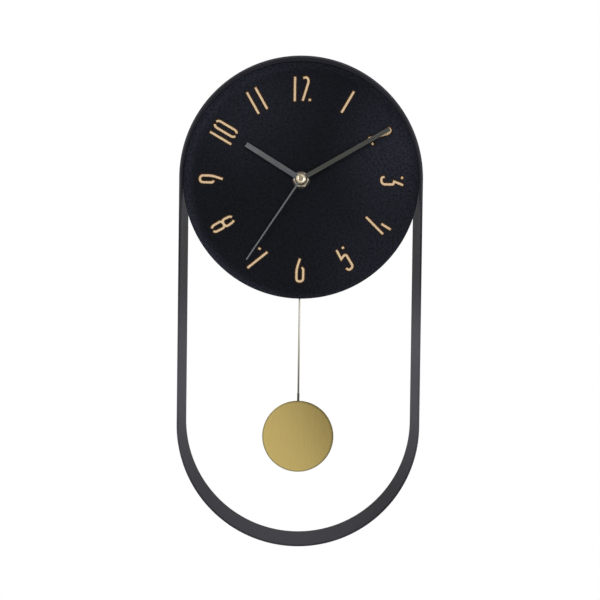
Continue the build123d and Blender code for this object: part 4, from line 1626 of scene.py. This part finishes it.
@dataclass
class HubStack:
    """The threaded bush, its washers and the hexagon nut round the hands' pipes."""

    nut_flats: float = 14.0
    nut_chamfer: float = 0.9
    nut_edge: float = 0.15
    nut_land: float = 0.35
    nut_slope: float = 0.75
    nut_sink: float = 0.45
    nut_steps: int = 180
    nut_crease: float = 14.0
    thread_pitch: float = 0.75
    thread_depth: float = 0.4
    thread_rows: int = 140
    thread_steps: int = 48
    bush: float = 8.0
    flange: float = 11.0
    flange_sheet: float = 0.8
    bush_bore: float = 5.36
    washer_edge: float = 0.26
    washer_play: float = 0.2

    def build(self) -> None:
        """Makes the stack from the dial outwards."""
        axis = Extent.of("dial_board").plan
        brass = TurnedMetal("hub_turned_brass", shade("c3b8a6"), 0.2, metallic=0.95, centre=axis, rings=1500.0)
        steel = TurnedMetal("washer_face", shade("4a4744"), 0.4, metallic=1.0, centre=axis, rings=1200.0)
        rubber = PressedPowder("washer_rubber_body", shade("17171a"), 0.7, specular=0.3)
        self._washer("dial_washer", "dial_washer_ring", "washer_steel", steel, axis)
        self._washer("rubber_washer", "rubber_ring", "washer_rubber", rubber, axis)
        self._nut(axis, brass)
        self._bush(axis, brass)

    def _washer(self, node: str, name: str, slot: str, finish: Finish, axis: Point) -> None:
        """A turned ring with rounded edges."""
        extent = Extent.of(node)
        rounds = [extent.spread(1) * self.washer_edge] * 4
        section = ring_section(self.bush / 2 + self.washer_play, extent.spread(2) / 2, extent, rounds)
        fit(turned(section, axis, ring=True).piece(name), Body.CASE, [node], slot, finish)

    def _nut(self, axis: Point, finish: Finish) -> None:
        """A hexagon r = flats / 2 / cos(a) between corners, met by a cone that takes them off at the front."""
        extent = Extent.of("fixing_nut")
        angle = full_turn(self.nut_steps)
        within = (angle + np.pi / 6) % (np.pi / 3) - np.pi / 6
        flat, bore, sink = self.nut_flats / 2, self.bush / 2, self.nut_sink
        hexagon = np.minimum(flat / np.cos(within), flat / math.cos(math.pi / 6) - self.nut_edge)
        rise = np.clip((hexagon - flat + self.nut_land) * self.nut_slope, 0.0, self.nut_chamfer)
        back, front = extent.back, extent.front
        rows = [
            (bore, back), (hexagon - self.nut_edge, back), (hexagon, back + self.nut_edge), (hexagon, front - rise),
            (flat - self.nut_land, front), (bore + sink, front), (bore, front - sink),
        ]
        radius, depth = (np.stack([np.broadcast_to(row[part], angle.shape) for row in rows]) for part in (0, 1))
        nut = revolved(radius, depth, axis, ring=True).piece("hexagon_nut", self.nut_crease)
        fit(nut, Body.CASE, ["fixing_nut"], "hub_brass", finish)

    def _bush(self, axis: Point, finish: Finish) -> None:
        """A flanged pipe with a thread: its radius is R less the thread's depth times the helix."""
        extent = Extent.of("threaded_bush")
        back, front = extent.back, extent.front
        shoulder = back + self.flange_sheet
        along = np.linspace(shoulder, front, self.thread_rows)
        thread = self.bush / 2 - self.thread_depth * helix(along - shoulder, self.thread_pitch, self.thread_steps)
        bore, flange = (np.full((1, self.thread_steps), width / 2) for width in (self.bush_bore, self.flange))
        radius = np.concatenate([bore, flange, flange, thread, bore])
        depth = np.concatenate([[back, back, shoulder], along, [front]])[:, None]
        pipe = revolved(radius, depth, axis, ring=True).piece("thread_bush")
        fit(pipe, Body.CASE, ["threaded_bush"], "hub_brass", finish)


@dataclass
class Movement:
    """The quartz movement's housing, cell, coils and wheels."""

    case_round: float = 0.5
    cover_round: float = 0.4
    knob_round: float = 0.25
    case_bend: float = 40.0
    knob_bend: float = 50.0
    cell_nub: Point = (2.65, 1.3)
    cell_ring: Point = (1.9, 1.7)
    cell_shoulder: Point = (0.9, 1.3)
    cell_wall: Point = (1.5, 0.9)
    cell_groove: Point = (0.35, 0.5)
    cell_crimp: float = 0.3
    cell_dish: Point = (2.3, 0.35)
    cell_lid: float = 0.1
    cell_rounds: tuple[float, ...] = (0.3, 0.2, 0.2, 0.15, 0.4, 0.15, 0.3, 0.2, 0.2, 0.2, 0.2)
    cell_round_steps: int = 4
    sleeve_start: float = 1.7
    sleeve_split: float = 14.0
    sleeve_end: float = 0.55

    housing: Finish = MouldedPlastic("housing_black", shade("1d1d20"), 0.42, specular=0.45)
    knob: Finish = MouldedPlastic("knob_grey", shade("2c2c30"), 0.38, specular=0.45, skin_cells=3000.0)
    acetal: Finish = MouldedPlastic("wheel_acetal", shade("e2ddcf"), 0.35, skin=0.01)

    def build(self) -> None:
        """Dresses the housing and everything inside it."""
        for node, name, width, bend, body, finish in (
            ("movement_front_case", "housing_front", self.case_round, self.case_bend, Body.CASE, self.housing),
            ("movement_back_cover", "housing_back", self.cover_round, self.case_bend, Body.CASE, self.housing),
            ("setting_knob", "fluted_knob", self.knob_round, self.knob_bend, Body.SETTING, self.knob),
        ):
            fit(eased_copy(node, name, width, bend), body, [node], "movement_plastic", finish)
        self._cell()
        dress(
            self.acetal, "train_plate", "rotor_pinion", "fifth_wheel", "second_wheel", "third_wheel", "centre_wheel",
            "minute_wheel", "hour_wheel", "minute_arbor",
        )
        dress(PrintedLaminate("board_lacquer", shade("2f5a36"), 0.35), "circuit_board")
        dress(TurnedMetal("crystal_tin", shade("c9cbce"), 0.25, metallic=1.0), "quartz_crystal")
        dress(WoundWire("motor_winding", shade("b5622e"), 0.3, metallic=0.8), "motor_coil")
        dress(WoundWire("drive_winding", shade("b5622e"), 0.3, metallic=0.8, axis="Y"), "drive_coil")
        dress(PlatedSteel("stator_sheet", shade("8d8f92"), 0.4, metallic=1.0), "stator")
        dress(PressedPowder("magnet_body", shade("3b3b3f"), 0.5), "rotor_magnet", "pendulum_magnet")
        dress(BrushedMetal("pin_drawn", shade("c2c4c6"), 0.22, metallic=1.0), "pivot_pin")
        plating = PlatedSteel("contact_plating", shade("cfcdc4"), 0.25, metallic=1.0, patch_cells=500.0)
        dress(plating, "contact_positive", "contact_negative")

    def _cell(self) -> None:
        """The dry cell: a turned can with a crimped foot, a shoulder, an insulating ring and a nub."""
        extent = Extent.of("battery_cell")
        radius = extent.spread(1) / 2
        start, stop = float(extent.low[0]), float(extent.high[0])
        (nub, nub_top), (ring, ring_top) = self.cell_nub, self.cell_ring
        (groove, groove_up), (dish, dish_up) = self.cell_groove, self.cell_dish
        corners = [
            (self.cell_lid, start), (nub, start), (nub, start + nub_top),
            (radius - ring, start + nub_top), (radius - ring, start + ring_top),
            (radius - self.cell_shoulder[0], start + self.cell_shoulder[1]),
            (radius, start + self.cell_wall[0]), (radius, stop - self.cell_wall[1]),
            (radius - groove, stop - groove_up), (radius - groove - self.cell_crimp, stop), (radius - ring, stop),
            (radius - dish, stop - dish_up), (self.cell_lid, stop - dish_up),
        ]
        profile = softened(corners, self.cell_rounds, self.cell_round_steps)
        jacket = CellJacket(
            "cell_sleeve", shade("26282c"), 0.28, metallic=0.25, start=start + self.sleeve_start,
            split=start + self.sleeve_split, end=stop - self.sleeve_end, second=shade("b98a3c"), bare=shade("c4c4c2"),
        )
        shell = turned_along_x(profile, -float(extent.middle[1]), float(extent.middle[2]))
        fit(shell.piece("dry_cell"), Body.CASE, ["battery_cell"], "cell_jacket", jacket)


@dataclass
class Pendulum:
    """Lever, wire rod, ferrule and bob."""

    lever_round: float = 0.3
    rod: float = 2.0
    rod_steps: int = 28
    rod_end: float = 0.8
    bend_steps: int = 28
    run_steps: int = 40
    hook_tail: float = 4.0
    tail_steps: int = 5
    ferrule: float = 2.8
    ferrule_mouth: float = 0.25
    ferrule_play: float = 0.01
    ferrule_edge: float = 0.1
    ferrule_steps: int = 40
    foot_drop: float = 8.0
    foot_half: float = 13.0
    foot_sheet: float = 0.8
    foot_bevel: float = 0.2
    foot_corner: float = 1.2
    bob_round: float = 0.45
    bob_round_steps: int = 5
    bob_steps: int = 192
    bob_middle: float = 4.0
    bob_border: float = 3.0
    # where the painted shade along the edge starts and is full, inside the rim
    bob_edge_shade: Point = (1.9, 0.5)

    def build(self) -> None:
        """Makes the wire, the ferrule and the bob, and dresses the lever."""
        lever = MouldedPlastic("lever_white", shade("d8d6cf"), 0.4, skin=0.012)
        arm = eased_copy("pendulum_lever", "swing_lever", self.lever_round)
        fit(arm, Body.PENDULUM, ["pendulum_lever"], "gear_plastic", lever)
        self._rod()
        self._ferrule()
        self._bob()

    def _rod(self) -> None:
        """A round wire along a line that runs up, bends back through half a turn and ends in a short tail."""
        extent = Extent.of("pendulum_rod")
        radius = self.rod / 2
        front, rear = extent.front - radius, extent.back + radius
        bend = (front - rear) / 2
        middle = (front + rear) / 2
        top = float(extent.high[2]) - radius - bend
        rise = np.linspace(float(extent.low[2]), top, self.run_steps)
        half_turn = np.linspace(0.0, np.pi, self.bend_steps)[1:-1]
        fall = np.linspace(top, top - self.hook_tail, self.tail_steps)
        depth = np.concatenate([
            np.full(len(rise), front), middle + bend * np.cos(half_turn), np.full(len(fall), rear),
        ])
        height = np.concatenate([rise, top + bend * np.sin(half_turn), fall])
        ahead = unit(np.gradient(np.stack([depth, height], axis=1), axis=0))
        side = np.stack([ahead[:, 1], -ahead[:, 0]], axis=1)
        angle = full_turn(self.rod_steps)
        ring = np.full((len(depth), 1), radius)
        ring[[0, -1]] *= self.rod_end
        x = ring * np.cos(angle)
        y = -(depth[:, None] + ring * np.sin(angle) * side[:, :1])
        z = height[:, None] + ring * np.sin(angle) * side[:, 1:]
        # painted shade: the wire darkens towards the ferrule in place of its dimmer reflections
        wire = DownShadedWire(
            "rod_drawn_wire", shade("bfbbae"), 0.22, metallic=1.0, across=2500.0, along=20.0, contrast=0.12,
            depth=0.0015, lower_shade=shade("66635a"), shade_start=-212.0, shade_full=-305.0,
        )
        rod = Shell.lofted(np.stack([x, y, z], axis=-1)).piece("wire_rod")
        fit(rod, Body.PENDULUM, ["pendulum_rod"], "rod_wire", wire)

    def _ferrule(self) -> None:
        """A sleeve turned about the wire that tapers to its mouth, soldered to a foot plate with rounded edges."""
        extent, bob = Extent.of("bob_ferrule"), Extent.of("bob")
        depth = Extent.of("pendulum_rod").front - self.rod / 2
        low, high = float(extent.low[2]), float(extent.high[2])
        radius, bore = self.ferrule / 2, self.rod / 2 + self.ferrule_play
        taper = [(bore, low), (radius, low), (bore + self.ferrule_mouth, high), (bore, high)]
        section = rounded_ring(taper, [self.ferrule_edge] * 4)
        angle = full_turn(self.ferrule_steps)
        x = section[:, :1] * np.cos(angle)
        y = -(depth + section[:, :1] * np.sin(angle))
        z = np.broadcast_to(section[:, 1:], x.shape)
        sleeve = Shell.lofted(np.stack([x, y, z], axis=-1), ring=True)
        halves = np.array([extent.spread(0) / 2, self.foot_half])
        middle = np.array([0.0, float(bob.high[2]) - self.foot_drop - self.foot_half])
        corners = np.array([(-1.0, -1.0), (1.0, -1.0), (1.0, 1.0), (-1.0, 1.0)]) * halves + middle
        outer = rounded_ring(corners, [self.foot_corner] * 4)
        inner = (outer - middle) * (1.0 - self.foot_bevel / halves) + middle
        back = bob.back - self.foot_sheet
        foot = stacked(np.stack([inner, outer, outer]), [back, back + self.foot_bevel, bob.back])
        steel = BrushedMetal("ferrule_nickel", shade("54534e"), 0.3, metallic=1.0, across=2500.0, along=60.0)
        fit((sleeve + foot).piece("bob_sleeve"), Body.PENDULUM, ["bob_ferrule"], "ferrule_steel", steel)

    def _bob(self) -> None:
        """A thin turned plate with rolled edges."""
        extent = Extent.of("bob")
        radius = extent.spread(2) / 2
        back, front, border = extent.back, extent.front, radius - self.bob_border
        corners = [(border, back), (radius, back), (radius, front), (border, front)]
        rolled = softened(corners, [self.bob_round] * 2, self.bob_round_steps)
        line = np.concatenate([[[self.bob_middle, back]], rolled, [[self.bob_middle, front]]])
        # painted shade: a darker band along the bob's rolled edge
        gold = EdgeShadedMetal(
            "bob_satin_gold", shade("c3ad6b"), 0.27, metallic=1.0, centre=(0.0, 0.0, extent.plan[1]), contrast=0.025,
            haze=0.03, depth=0.0004, across=1400.0, along=14.0, rim=shade("8a7f55"),
            inside=radius - self.bob_edge_shade[0], outside=radius - self.bob_edge_shade[1],
        )
        plate = turned(line, extent.plan, self.bob_steps).piece("bob_plate")
        fit(plate, Body.PENDULUM, ["bob"], "bob_brass", gold)


def main() -> None:
    """Builds the studio and every sub-assembly."""
    logging.basicConfig(level=logging.INFO, format="%(name)s: %(message)s")
    Studio().build()
    for assembly in (Carcass(), Dial(), HandSet(), HubStack(), Movement(), Pendulum()):
        LOG.info("building %s", type(assembly).__name__)
        assembly.build()


if __name__ == "__main__":
    main()
